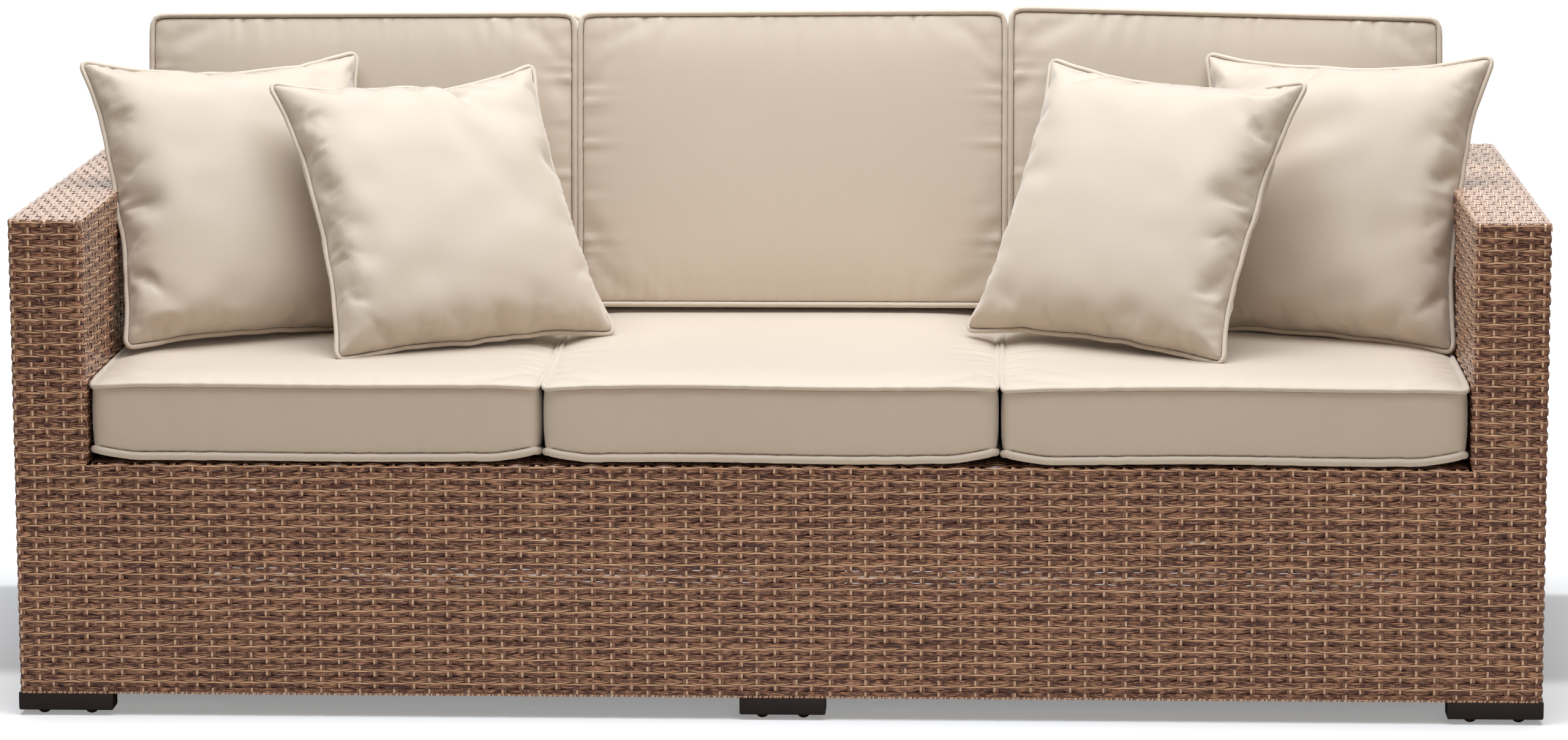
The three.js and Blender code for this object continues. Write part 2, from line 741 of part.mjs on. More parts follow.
// Back cushions stand on the seat cushions and lean back against the woven back
const backCushion = boxCushion({
  width: seatCushionWidth,
  depth: backCushionHeight,
  thickness: backCushionThickness,
  topCrown: backCrown,
  underCrown: backRearCrown,
  sideCrown: backSideCrown,
});
const backCushionZ = standLevel + Math.cos(backCushionLean) * backCushionHeight / 2
  - Math.sin(backCushionLean) * backCushionThickness / 2 - cushionDrawIn;
backCushion.rotateX(Math.PI / 2 - backCushionLean);
backCushion.translate(0, 0, backCushionZ);
const besideBackWeave = solidOf(backCushion).intersect(boxBetween(
  [-overallWidth, -overallDepth, 0],
  [overallWidth, overallDepth, frameHeight - weaveCorner],
));
const backCushionY = backFrontY - clearance - cornersOf(geometryOf(besideBackWeave)).max.y;
backCushion.translate(0, backCushionY, 0);
cushionNames.forEach((name, index) => {
  const cushion = backCushion.clone().translate(cushionPlaces[index], 0, 0);
  addPiece(`back_cushion_${name}`, solidOf(cushion).subtract(belowStandLevel), 'fabric');
});

// How far back a pillow may reach at a height: just short of the back cushions' crowns
function leanPlaneAt(z) {
  const crownReach = (backCushionThickness / 2 + backCrown + clearance) / Math.cos(backCushionLean);
  return backCushionY - crownReach + (z - backCushionZ) * Math.tan(backCushionLean);
}

// Each arm and the room round it, which a pillow that leans over it is cut back from
const armRoom = [-1, 1].map((side) => {
  const ends = [side * (seatHalfWidth - clearance), side * overallWidth];
  return boxBetween(
    [Math.min(...ends), -overallDepth, 0],
    [Math.max(...ends), overallDepth, frameHeight + clearance],
  );
});

for (const [name, { acrossShare, turn, lean, roll }] of Object.entries(pillowPlaceShares)) {
  const geometry = pillow();
  geometry.rotateX(Math.PI / 2);
  geometry.rotateY(THREE.MathUtils.degToRad(roll));
  geometry.rotateX(THREE.MathUtils.degToRad(-lean));
  geometry.rotateZ(THREE.MathUtils.degToRad(turn));
  const centreZ = standLevel - pillowSink + Math.cos(THREE.MathUtils.degToRad(lean)) * pillowSize / 2;
  geometry.translate(acrossShare * seatHalfWidth, 0, centreZ);
  geometry.translate(0, reachTo(geometry, leanPlaneAt), 0);
  const solid = armRoom.reduce((whole, room) => whole.subtract(room), solidOf(geometry));
  addPiece(name, solid.subtract(belowStandLevel), 'fabric');
}

export default sofa;
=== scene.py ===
"""Woven garden sofa: strands laced over a tube frame, sewn and piped cushions filled by a
cloth simulation, a pale studio and the photograph's camera. Metres."""

import math

import bmesh
import bpy
import numpy as np
from mathutils import Matrix, Vector
from mathutils.kdtree import KDTree


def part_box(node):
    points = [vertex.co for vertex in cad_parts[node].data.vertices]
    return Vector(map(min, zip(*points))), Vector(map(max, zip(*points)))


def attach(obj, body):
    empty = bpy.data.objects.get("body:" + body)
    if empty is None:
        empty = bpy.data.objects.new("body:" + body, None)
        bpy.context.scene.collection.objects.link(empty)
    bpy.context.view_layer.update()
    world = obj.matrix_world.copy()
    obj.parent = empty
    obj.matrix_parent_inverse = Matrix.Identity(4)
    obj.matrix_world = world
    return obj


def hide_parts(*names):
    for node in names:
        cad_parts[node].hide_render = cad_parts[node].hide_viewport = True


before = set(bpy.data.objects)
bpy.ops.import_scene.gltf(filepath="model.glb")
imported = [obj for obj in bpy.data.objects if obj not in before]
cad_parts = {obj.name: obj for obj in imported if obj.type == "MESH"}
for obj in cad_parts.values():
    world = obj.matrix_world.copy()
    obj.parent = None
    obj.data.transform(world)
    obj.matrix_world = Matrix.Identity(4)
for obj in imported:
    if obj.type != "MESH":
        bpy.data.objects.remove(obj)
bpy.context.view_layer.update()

MM = 0.001

# Places read from the frame
arm_low, arm_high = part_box("left_arm_weave")
HALF_WIDTH = -arm_low.x
ARM_INNER_X = -arm_high.x
FRONT_Y = arm_low.y
REAR_Y = arm_high.y
BACK_FRONT_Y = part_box("back_weave")[0].y
WEAVE_BOTTOM = arm_low.z
ARM_TOP = arm_high.z
SEAT_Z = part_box("apron_weave")[1].z

# The weave: flat strands laid in rows, over and under upright stakes
ROW_PITCH = 8.04 * MM
WALL_ROWS = 78
SEAT_ROWS = 38
TOP_ROWS = 12
EDGE_ROWS = 8  # on the apron's edge, before the plainer deck
EDGE_RADIUS = 8 * MM  # of the upright corners
TOP_RADIUS = 3.4 * MM  # of the edges round the tops
STAKE_WIDTH = 7 * MM
STAKE_DEPTH = 2.4 * MM
LACE_DEPTH = 1.75 * MM
TOP_LACE_DEPTH = 1.3 * MM
ROW_DRIFT = 0.35 * MM
STAKE_DRIFT = 0.9 * MM
SIDE_MARGIN = 8 * MM
ARM_STAKES = (8 * MM, 27 * MM, 48 * MM, 71 * MM, 92 * MM)
FRONT_STAKES = 76
SIDE_STAKES = 32
REAR_STAKES = 82
INNER_STAKES = 28
HEM_PITCH = 4.5 * MM
TURNED_DOWN = 9 * MM  # how far the weave of a top bends down over the walls
TOP_TUCK = 3.2 * MM  # how far an arm top's ends stand back from the walls

# Row numbers in the strands' map that tell the arm tops and the stakes from the walls' rows
TOP_FIRST_ROW = 120
STAKE_FIRST_ROW = 200
STAKE_LAST_ROW = 900

EDGE_ARC = EDGE_RADIUS * math.pi / 2
TOP_ARC = TOP_RADIUS * math.pi / 2
TOP_START = 0.3 * TOP_ARC  # how far into its turn the weave of a top starts
SEAT_TOP = SEAT_ROWS * ROW_PITCH
WALL_END = ARM_TOP - WEAVE_BOTTOM - TOP_RADIUS
WALL_STAKE = (2 * MM, WALL_END - 3 * MM)
CORNER_X = HALF_WIDTH - EDGE_RADIUS
SIDE_RUN = REAR_Y - FRONT_Y - 2 * EDGE_RADIUS - 2 * SIDE_MARGIN
ARMS = (("left", -1), ("right", 1))


# -------- small tools

def deselect():
    if bpy.context.object and bpy.context.object.mode != "OBJECT":
        bpy.ops.object.mode_set(mode="OBJECT")
    bpy.ops.object.select_all(action="DESELECT")


def pick(obj):
    deselect()
    obj.select_set(True)
    bpy.context.view_layer.objects.active = obj


def named(name, piece):
    piece.name = piece.data.name = name
    return piece


def joined(name, *parts):
    pick(parts[0])
    for part in parts[1:]:
        part.select_set(True)
    if parts[1:]:
        bpy.ops.object.join()
    return named(name, parts[0])


def edit_all():
    bpy.ops.object.mode_set(mode="EDIT")
    bpy.ops.mesh.select_all(action="SELECT")


def leave_edit():
    bpy.ops.object.mode_set(mode="OBJECT")


def face_outwards():
    bpy.ops.mesh.select_all(action="SELECT")
    bpy.ops.mesh.normals_make_consistent(inside=False)


def smooth_under(degrees):
    bpy.ops.object.shade_smooth_by_angle(angle=math.radians(degrees))


def extrude(x, y, z):
    bpy.ops.mesh.extrude_region_move(TRANSFORM_OT_translate={"value": (x, y, z)})


def apply_modifiers(obj):
    pick(obj)
    for modifier in list(obj.modifiers):
        bpy.ops.object.modifier_apply(modifier=modifier.name)


def points_of(mesh):
    points = np.empty(len(mesh.vertices) * 3, np.float32)
    mesh.vertices.foreach_get("co", points)
    return points.reshape(-1, 3).astype(float)


def set_points(mesh, points):
    mesh.vertices.foreach_set("co", points.astype(np.float32).ravel())
    mesh.update()


def write_map(mesh, name, first, second):
    """Gives each point of a mesh its own two numbers, for a material to read"""
    corners = np.empty(len(mesh.loops), np.int32)
    mesh.loops.foreach_get("vertex_index", corners)
    flat = np.column_stack((first[corners], second[corners])).astype(np.float32)
    mesh.uv_layers.new(name=name).data.foreach_set("uv", flat.ravel())


def duplicate(obj, name):
    copy = obj.copy()
    copy.data = obj.data.copy()
    bpy.context.scene.collection.objects.link(copy)
    return named(name, copy)


def dress(obj, material, body, slot, *nodes):
    obj.data.materials.clear()
    obj.data.materials.append(material)
    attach(obj, body)
    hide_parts(*nodes)


# -------- materials

SEAM_SHADOW = (2.7 * MM, 1.2 * MM)  # how far from a seam its shadow ends, and is full


class Nodes:
    """Adds and links the nodes of one tree"""

    def __init__(self, tree):
        self.tree = tree

    def add(self, kind, **settings):
        node = self.tree.nodes.new(kind)
        for key, value in settings.items():
            setattr(node, key, value)
        return node

    def feed(self, sockets, values):
        """Links each socket to an output, or sets it to a number or a colour"""
        for socket, value in zip(sockets, values):
            if isinstance(value, bpy.types.NodeSocket):
                self.tree.links.new(value, socket)
            else:
                socket.default_value = (*value, 1) if isinstance(value, tuple) else value

    def finish(self, shader, values):
        self.feed([shader.inputs[name] for name in values], values.values())

    def math(self, operation, *values):
        node = self.add("ShaderNodeMath", operation=operation)
        self.feed(node.inputs, values)
        return node.outputs[0]

    def times(self, first, *others):
        for other in others:
            first = self.math("MULTIPLY", first, other)
        return first

    def plus(self, first, second):
        return self.math("ADD", first, second)

    def rest(self, value):
        return self.math("SUBTRACT", 1, value)

    def most(self, first, second):
        return self.math("MAXIMUM", first, second)

    def combine(self, *values):
        node = self.add("ShaderNodeCombineXYZ")
        self.feed(node.inputs, values)
        return node.outputs[0]

    def split(self, vector):
        node = self.add("ShaderNodeSeparateXYZ")
        self.feed(node.inputs, (vector,))
        return node.outputs

    def place(self):
        return self.add("ShaderNodeTexCoord").outputs["Object"]

    def noise(self, vector, scale, detail=2.0, roughness=0.5):
        node = self.add("ShaderNodeTexNoise")
        self.finish(node, {"Vector": vector, "Scale": scale, "Detail": detail,
                           "Roughness": roughness})
        return node.outputs["Fac"]

    def step(self, value, low, high):
        node = self.add("ShaderNodeMapRange", interpolation_type="SMOOTHSTEP")
        self.finish(node, {"Value": value, "From Min": low, "From Max": high})
        return node.outputs["Result"]

    def mix(self, factor, first, second):
        node = self.add("ShaderNodeMix", data_type="RGBA")
        self.feed((node.inputs[0], *node.inputs[6:8]), (factor, first, second))
        return node.outputs[2]

    def bump(self, height, strength, distance):
        node = self.add("ShaderNodeBump")
        self.finish(node, {"Height": height, "Strength": strength, "Distance": distance})
        return node.outputs["Normal"]

    def group(self, tree, values):
        node = self.add("ShaderNodeGroup", node_tree=tree)
        self.finish(node, values)
        return node.outputs


def new_material(name):
    material = bpy.data.materials.new(name)
    material.use_nodes = True
    tree = material.node_tree
    return material, Nodes(tree), tree.nodes["Principled BSDF"]


def new_group(name, inputs, outputs):
    tree = bpy.data.node_groups.new(name, "ShaderNodeTree")
    for way, sockets in (("INPUT", inputs), ("OUTPUT", outputs)):
        for socket, kind in sockets.items():
            tree.interface.new_socket(socket, in_out=way, socket_type=f"NodeSocket{kind}")
    n = Nodes(tree)
    return tree, n, n.add("NodeGroupInput").outputs, n.add("NodeGroupOutput")


def streaked_strand_group():
    """Colour and height of an extruded strand, from its own map: along it in metres, and its
    row plus how far across it. Rows from TOP_FIRST_ROW lie on an arm's top in full light, and are
    painted lighter there as a painted highlight. Rows from STAKE_FIRST_ROW are upright stakes"""
    tree, n, given, made = new_group(
        "streaked_strand", {"Map": "Vector"}, {"Color": "Color", "Height": "Float"})
    along, stacked = n.split(given["Map"])[:2]
    row, across = n.math("FLOOR", stacked), n.math("FRACT", stacked)
    row_shift = n.times(row, 17.3)
    streaks = n.noise(n.combine(n.times(along, 95), n.times(across, 8.5), row_shift),
                      1.0, 4.0, 0.68)
    patches = n.noise(n.combine(n.times(along, 17), across, row_shift), 1.0, 1.0)
    upright = n.step(row, STAKE_FIRST_ROW - 50, STAKE_FIRST_ROW - 40)
    laid = n.rest(upright)
    # An arm's top is painted lighter, a painted highlight for the full light on it: fewer dark
    # streaks and a paler body
    painted_light_top = n.times(n.step(row, TOP_FIRST_ROW - 10, TOP_FIRST_ROW - 2), laid)

    # A smooth bead runs along one edge, wider on a stake, and the rest is streaked
    off_bead = n.math("MINIMUM", n.step(across, 0.25, 0.34),
                      n.most(n.step(across, 0.38, 0.46), laid))
    dark = n.step(n.plus(streaks, n.times(patches, 0.25)), 0.55, 0.66)
    dark = n.times(dark, off_bead, n.rest(n.times(upright, 0.35)),
                   n.rest(n.times(painted_light_top, 0.55)))
    # Shade lies in the groove beside the bead, under its rim, and along the other edge
    groove = n.times(n.step(across, 0.24, 0.28), n.step(across, 0.35, 0.30))
    rim = n.step(across, 0.105, 0.06)
    edge = n.most(n.step(across, 0.90, 0.96), n.times(n.step(across, 0.05, 0.02), upright))
    shade = n.most(n.times(n.most(groove, rim), laid), edge)
    dark = n.most(dark, n.times(shade, 0.85))

    body = n.mix(n.step(streaks, 0.32, 0.62), (0.59, 0.310, 0.178), (0.31, 0.142, 0.080))
    # The bead is painted lighter than the body: partly the strand's own smoother colour, partly a
    # painted highlight on its ridge. On a stake it is painted lighter still, as painted light
    # against the shade it sits in
    bead = n.mix(n.step(patches, 0.3, 0.7), (0.80, 0.495, 0.296), (0.60, 0.350, 0.202))
    bead = n.mix(upright, bead, (0.86, 0.58, 0.40))
    body = n.mix(off_bead, bead, body)
    # Painted highlight: the strands on an arm's top are painted paler
    body = n.mix(n.times(painted_light_top, 0.35), body, (0.88, 0.66, 0.50))
    ribs = n.math("SINE", n.times(across, 31.4))
    n.finish(made, {"Color": n.mix(n.times(dark, 0.94), body, (0.070, 0.025, 0.022)),
                    "Height": n.plus(n.times(ribs, 0.35), streaks)})
    return tree


def woven_material():
    material, n, shader = new_material("mottled_strand")
    strand = n.group(streaked_strand_group(),
                     {"Map": n.add("ShaderNodeUVMap", uv_map="Strands").outputs["UV"]})
    n.finish(shader, {
        "Base Color": strand["Color"], "Normal": n.bump(strand["Height"], 0.5, 0.3 * MM),
        "Roughness": 0.28, "Specular IOR Level": 0.3,
        "Coat Weight": 0.6, "Coat IOR": 1.45, "Coat Roughness": 0.2})
    return material


def polyester_group():
    """Colour and height of the woven cover, and the broken shadow that lies along its seams"""
    tree, n, given, made = new_group(
        "sewn_polyester", {"Place": "Vector", "Painted Light Scale": "Float", "From Seam": "Float"},
        {"Color": "Color", "Height": "Float"})
    place = given["Place"]
    bolt = n.mix(n.noise(place, 6), (0.590, 0.496, 0.400), (0.630, 0.532, 0.430))
    # Painted light: the cloth's colour is scaled lighter or darker for each set of cushions
    painted_light_bolt = n.add("ShaderNodeVectorMath", operation="SCALE")
    n.finish(painted_light_bolt, {"Vector": bolt, "Scale": given["Painted Light Scale"]})
    seam = n.times(n.step(given["From Seam"], *SEAM_SHADOW),
                   n.plus(0.15, n.times(n.noise(place, 110), 1.2)))
    n.finish(made, {"Color": n.mix(seam, painted_light_bolt.outputs["Vector"], (0.16, 0.095, 0.060)),
                    "Height": n.noise(place, 260, 3.0, 0.7)})
    return tree


def fabric_material(name, group, painted_light_scale, sewn=True):
    """Woven polyester. A sewn cover reads its distance from the seams, and a cord has none"""
    material, n, shader = new_material(name)
    from_seam = 1.0
    if sewn:
        from_seam = n.split(n.add("ShaderNodeUVMap", uv_map="Seams").outputs["UV"])["X"]
    # The cloth's colour is scaled by a painted light factor
    cloth = n.group(group, {"Place": n.place(), "Painted Light Scale": painted_light_scale, "From Seam": from_seam})
    n.finish(shader, {
        "Base Color": cloth["Color"], "Normal": n.bump(cloth["Height"], 0.25, 0.4 * MM),
        "Roughness": 0.6, "Sheen Weight": 0.6, "Sheen Roughness": 0.4})
    return material


def worn_grain_group():
    """Fine grain and broad wear of moulded and painted pieces"""
    tree, n, given, made = new_group(
        "worn_grain", {"Place": "Vector"}, {"Wear": "Float", "Grain": "Float"})
    n.finish(made, {"Wear": n.noise(given["Place"], 18, 3.0),
                    "Grain": n.noise(given["Place"], 900)})
    return tree


def worn_material(name, group, colour, roughness):
    material, n, shader = new_material(name)
    worn = n.group(group, {"Place": n.place()})
    lighter = tuple(1.35 * value for value in colour)
    n.finish(shader, {"Base Color": n.mix(worn["Wear"], colour, lighter),
                      "Normal": n.bump(worn["Grain"], 0.3, 0.1 * MM),
                      "Roughness": roughness})
    return material


# -------- weaving

class Path:
    """A line through points in a plane, its corners rounded, measured along its length"""

    def __init__(self, points, radius):
        points = [Vector(point) for point in points]
        self.runs = []
        self.length = 0
        at = points[0]
        for corner, after in zip(points[1:], points[2:] + [None]):
            way = (corner - at).normalized()
            if after is None:
                self._line(at, corner)
                break
            turned = (after - corner).normalized()
            angle = way.angle_signed(turned)  # clockwise is positive
            cut = radius * math.tan(abs(angle) / 2)
            start = corner - way * cut
            self._line(at, start)
            self.runs.append((self.length, radius * abs(angle), start, way, radius, -angle))
            self.length += radius * abs(angle)
            at = corner + turned * cut

    def _line(self, start, end):
        run = (end - start).length
        self.runs.append((self.length, run, start, (end - start).normalized(), 0, 0))
        self.length += run

    def at(self, distance):
        """Places and directions at distances along the line"""
        place = np.zeros((len(distance), 2))
        way = np.zeros((len(distance), 2))
        last = len(self.runs) - 1
        for index, (start, run, origin, heading, radius, angle) in enumerate(self.runs):
            inside = np.ones(len(distance), bool)
            if index:
                inside &= distance >= start
            if index < last:
                inside &= distance < start + run
            along = distance[inside] - start
            hx, hy = heading
            if not radius:
                place[inside] = np.array(origin) + along[:, None] * np.array((hx, hy))
                way[inside] = (hx, hy)
                continue
            turn = np.sign(angle) * along / radius
            side = np.sign(angle) * np.array((-hy, hx)) * radius
            cos, sin = np.cos(turn)[:, None], np.sin(np.abs(turn))[:, None]
            place[inside] = (np.array(origin) + side
                             - side * cos + np.array((hx, hy)) * radius * sin)
            way[inside] = np.stack((
                hx * np.cos(turn) - hy * np.sin(turn),
                hx * np.sin(turn) + hy * np.cos(turn)), 1)
        return place, way


def wall_place(plan, rise):
    """Upright walls: s runs along the plan, t runs up the wall and over its top edge"""
    def place(s, t):
        ground, way = plan.at(s)
        outward = np.stack((way[:, 1], -way[:, 0]), 1)
        climb, lean = rise.at(t)
        normal = np.column_stack((outward * lean[:, 1:2], -lean[:, 0]))
        return np.column_stack((ground + outward * climb[:, :1], climb[:, 1])), normal
    return place


def profile_place(profile):
    """Sheets with one profile from side to side: s is x, t runs along the profile in y, z"""
    def place(s, t):
        section, way = profile.at(t)
        normal = np.column_stack((np.zeros(len(s)), -way[:, 1], way[:, 0]))
        return np.column_stack((s, section)), normal
    return place


def top_place(lengthwise, crosswise):
    """Arm tops: s runs back and bends down at both ends, t runs across from x to x"""
    def place(s, t):
        length, way_s = lengthwise.at(s)
        cross, way_t = crosswise.at(t)
        place = np.column_stack((cross[:, 0], length[:, 0], cross[:, 1] + length[:, 1] - ARM_TOP))
        normal = np.column_stack((way_t[:, 1], -way_s[:, 1],
                                  np.maximum(way_s[:, 0] - way_t[:, 0] - 1, 0.05)))
        return place, normal / np.linalg.norm(normal, axis=1)[:, None]
    return place


def strand_outline(fine):
    """The section of a strand, (depth, across): a bead along one edge, then a flat body"""
    if fine:
        return ((0.45 * MM, 0.05), (-0.25 * MM, 0.02), (-0.85 * MM, 0.17), (-0.62 * MM, 0.66),
                (-0.15 * MM, 0.98), (0.45 * MM, 0.94))
    return ((0.4 * MM, 0.06), (-0.6 * MM, 0.10), (-0.6 * MM, 0.88), (0.4 * MM, 0.95))


STAKE_OUTLINE = ((0.55 * MM, -0.46), (-0.25 * MM, -0.50), (-0.70 * MM, -0.30),
                 (-0.45 * MM, 0.05), (-0.60 * MM, 0.36), (0.0, 0.50), (0.55 * MM, 0.44))


def extruded(outline, axis, stops):
    """A section drawn from a circle and extruded through stops along an axis"""
    deselect()
    bpy.ops.mesh.primitive_circle_add(vertices=len(outline), fill_type="NOTHING")
    unit = bpy.context.object
    edit_all()
    mesh = bmesh.from_edit_mesh(unit.data)
    for vertex, (depth, across) in zip(mesh.verts, outline):
        vertex.co = (stops[0], depth, across) if axis == "X" else (across, depth, stops[0])
    bmesh.update_edit_mesh(unit.data)
    for before, after in zip(stops, stops[1:]):
        step = after - before
        extrude(*((step, 0, 0) if axis == "X" else (0, 0, step)))
    face_outwards()
    leave_edit()
    return unit


def arrayed(obj, count, offset, merge=False):
    array = obj.modifiers.new("repeat", "ARRAY")
    array.use_relative_offset = False
    array.use_constant_offset = True
    array.constant_offset_displace = offset
    array.count = count
    array.use_merge_vertices = merge
    array.merge_threshold = 0.01 * MM


def close_ends(obj, sides):
    pick(obj)
    edit_all()
    bpy.ops.mesh.select_mode(type="EDGE")
    bpy.ops.mesh.select_all(action="DESELECT")
    bpy.ops.mesh.select_non_manifold(extend=False, use_wire=False, use_boundary=True,
                                     use_multi_face=False, use_non_contiguous=False,
                                     use_verts=False)
    bpy.ops.mesh.fill_holes(sides=sides)
    bpy.ops.mesh.select_all(action="DESELECT")
    leave_edit()


def wander(rng, along, row):
    """Slow, small drift along each row"""
    rows = int(row.max()) + 1
    waves = np.zeros(len(along))
    for wavelength in (0.11, 0.047):
        phase = rng.uniform(0, 2 * math.pi, rows)[row]
        waves += ROW_DRIFT * np.sin(along * 2 * math.pi / wavelength + phase) / 2
    return waves


def lay_rows(place, stakes, first_stake, start, end, rows, first_row, t_start, seed,
             pitch=ROW_PITCH, fine=True, calm=0, lace=LACE_DEPTH):
    """Weaves rows of strand over and under the stakes of a sheet. Stakes are distances along
    s, numbered from first_stake, and the rows run from stake number start to end. Rows are
    numbered from first_row. calm is how much flatter the first and last row lie"""
    steps = 4 if fine else 2
    stops = [step / steps for step in range(steps + 1)]
    unit = extruded(strand_outline(fine), "X", stops)
    edit_all()
    bpy.ops.mesh.duplicate_move(TRANSFORM_OT_translate={"value": (0, 0, 1)})
    bpy.ops.transform.rotate(value=math.pi, orient_axis="Y", center_override=(0.5, 0, 1.5))
    leave_edit()
    arrayed(unit, round(end - start), (1, 0, 0), merge=True)
    arrayed(unit, rows // 2, (0, 0, 2))
    apply_modifiers(unit)
    close_ends(unit, len(strand_outline(fine)))

    rng = np.random.default_rng(seed)
    flat = points_of(unit.data)
    number = flat[:, 0] + start
    row = np.floor(flat[:, 2]).astype(int)
    across = flat[:, 2] - row
    beadwards = np.where(row % 2 == 0, -1, 1)
    at_bead = np.where(row % 2 == 0, 1 - across, across)
    over = np.cos(math.pi * (number + row + first_row))
    s = np.interp(number, np.arange(len(stakes)) + first_stake, stakes)
    # A strand lies wider over a stake than under it, most of all at its bead
    wider = 0.24 * ((over + 1) / 2) ** 1.3 - 0.085
    wider_off_bead = 0.09 * np.maximum(over, 0) - 0.01
    edge = beadwards * (wider * at_bead ** 2 - wider_off_bead * (1 - at_bead) ** 2)
    t = t_start + (row + across + edge) * pitch + wander(rng, s, row)
    if first_row == 0:
        t = np.maximum(t, t_start + 0.5 * MM)
    loose = 1 + 0.12 * rng.standard_normal(rows)[row]
    outer = calm * ((row == 0) | (row == rows - 1))
    depth = (-flat[:, 1] - STAKE_DEPTH + LACE_DEPTH - lace + outer * lace / 2
             + (1 - outer) * lace * np.sign(over) * np.abs(over) ** 0.7 * loose)
    ground, normal = place(s, t)
    set_points(unit.data, ground + normal * depth[:, None])
    write_map(unit.data, "Strands", s,
              row + first_row + np.where(row % 2 == 0, across, 1 - across))
    pick(unit)
    smooth_under(50)
    return unit


def set_stakes(place, stakes, stops, seed, width=STAKE_WIDTH, deep=STAKE_DEPTH, slant=0):
    """Stands one upright strand at each stake, through stops along t"""
    unit = extruded(STAKE_OUTLINE, "Z", stops)
    arrayed(unit, len(stakes), (2, 0, 0))
    apply_modifiers(unit)
    close_ends(unit, len(STAKE_OUTLINE))
    rng = np.random.default_rng(seed)
    flat = points_of(unit.data)
    number = np.round(flat[:, 0] / 2).astype(int)
    across = flat[:, 0] - 2 * number
    flip = np.where(number % 3 == 1, -1, 1)
    s = np.asarray(stakes)[number] + across * width + slant * flat[:, 2]
    depth = -flat[:, 1] - deep
    ground, normal = place(s, flat[:, 2])
    set_points(unit.data, ground + normal * depth[:, None])
    shift = rng.integers(STAKE_FIRST_ROW, STAKE_LAST_ROW, len(stakes))[number]
    write_map(unit.data, "Strands", flat[:, 2], shift + 0.5 + across * 0.98 * flip)
    pick(unit)
    smooth_under(50)
    return unit


def hemmed(place, start, end, seed):
    """Binding wound close round the bottom edge"""
    count = round((end - start) / HEM_PITCH)
    return set_stakes(place, spread(start, (end - start) / count, count),
                      (-0.8 * MM, 1.7 * MM), seed=seed, width=HEM_PITCH - 0.6 * MM,
                      deep=0.3 * MM, slant=0.3)


def uneven(distances, seed):
    """Stakes are set by hand, so each stands a little off its even place"""
    rng = np.random.default_rng(seed)
    shifts = rng.uniform(-STAKE_DRIFT, STAKE_DRIFT, len(distances))
    shifts[[0, -1]] = 0
    return np.asarray(distances) + shifts


def spread(start, pitch, count):
    return [start + pitch * step for step in range(count + 1)]


def over_the_edge(distance):
    """Distances along a line where it starts, goes half way and ends its turn over a top edge"""
    return distance, distance + TOP_ARC / 2, distance + TOP_ARC


def front_stakes():
    """Stakes along the front, from the left corner to the right one"""
    arm = [x - HALF_WIDTH for x in ARM_STAKES[:-1]]
    inner = ARM_INNER_X + EDGE_RADIUS
    return uneven(arm + spread(-inner, 2 * inner / FRONT_STAKES, FRONT_STAKES)
                  + [-x for x in arm[::-1]], 3)


def weave_front(front, rise):
    place = wall_place(Path([(0, FRONT_Y), (1, FRONT_Y)], 0), rise)
    rows = lay_rows(place, front, 0, 0, len(front) - 1, SEAT_ROWS, 0, 0, seed=11)
    stakes = set_stakes(place, front, (2 * MM, SEAT_TOP), seed=12)
    yield "front_weave", "apron_weave", rows, stakes
    yield "front_hem", "apron_weave", hemmed(place, front[0], front[-1], 13)


def weave_sides(rise):
    """Each side runs from corner to corner, and a little round both"""
    turn = 12 * MM
    first = turn + EDGE_ARC + SIDE_MARGIN
    for name, side in ARMS:
        corners = [(side * (CORNER_X - turn), REAR_Y), (side * HALF_WIDTH, REAR_Y),
                   (side * HALF_WIDTH, FRONT_Y), (side * (CORNER_X - turn), FRONT_Y)]
        plan = Path(corners[::-side], EDGE_RADIUS)
        line = uneven([turn] + spread(first, SIDE_RUN / SIDE_STAKES, SIDE_STAKES)
                      + [plan.length - turn], 5 + side)
        place = wall_place(plan, rise)
        rows = lay_rows(place, line, 0, 0, len(line) - 1, WALL_ROWS, 0, 0, seed=21 + side)
        stakes = set_stakes(place, line[1:-1], WALL_STAKE, seed=31 + side)
        yield f"{name}_side_weave", f"{name}_arm_weave", rows, stakes
        yield (f"{name}_side_hem", f"{name}_arm_weave",
               hemmed(place, line[1], line[-2], 34 + side))


def weave_rear(rise):
    """Two halves, between the sides"""
    half = REAR_STAKES // 2
    rear = uneven(spread(-CORNER_X, 2 * CORNER_X / REAR_STAKES, REAR_STAKES), 7)
    place = wall_place(Path([(0, REAR_Y), (-1, REAR_Y)], 0), rise)
    for name, start, stop in (("right", 0, half), ("left", half, REAR_STAKES)):
        rows = lay_rows(place, rear, 0, start, stop, WALL_ROWS, 0, 0, seed=41 + start)
        stakes = set_stakes(place, rear[start:stop + (name == "left")], WALL_STAKE,
                            seed=42 + start)
        yield f"rear_{name}_weave", "back_weave", rows, stakes
    yield "rear_hem", "back_weave", hemmed(place, rear[0], rear[-1], 45)


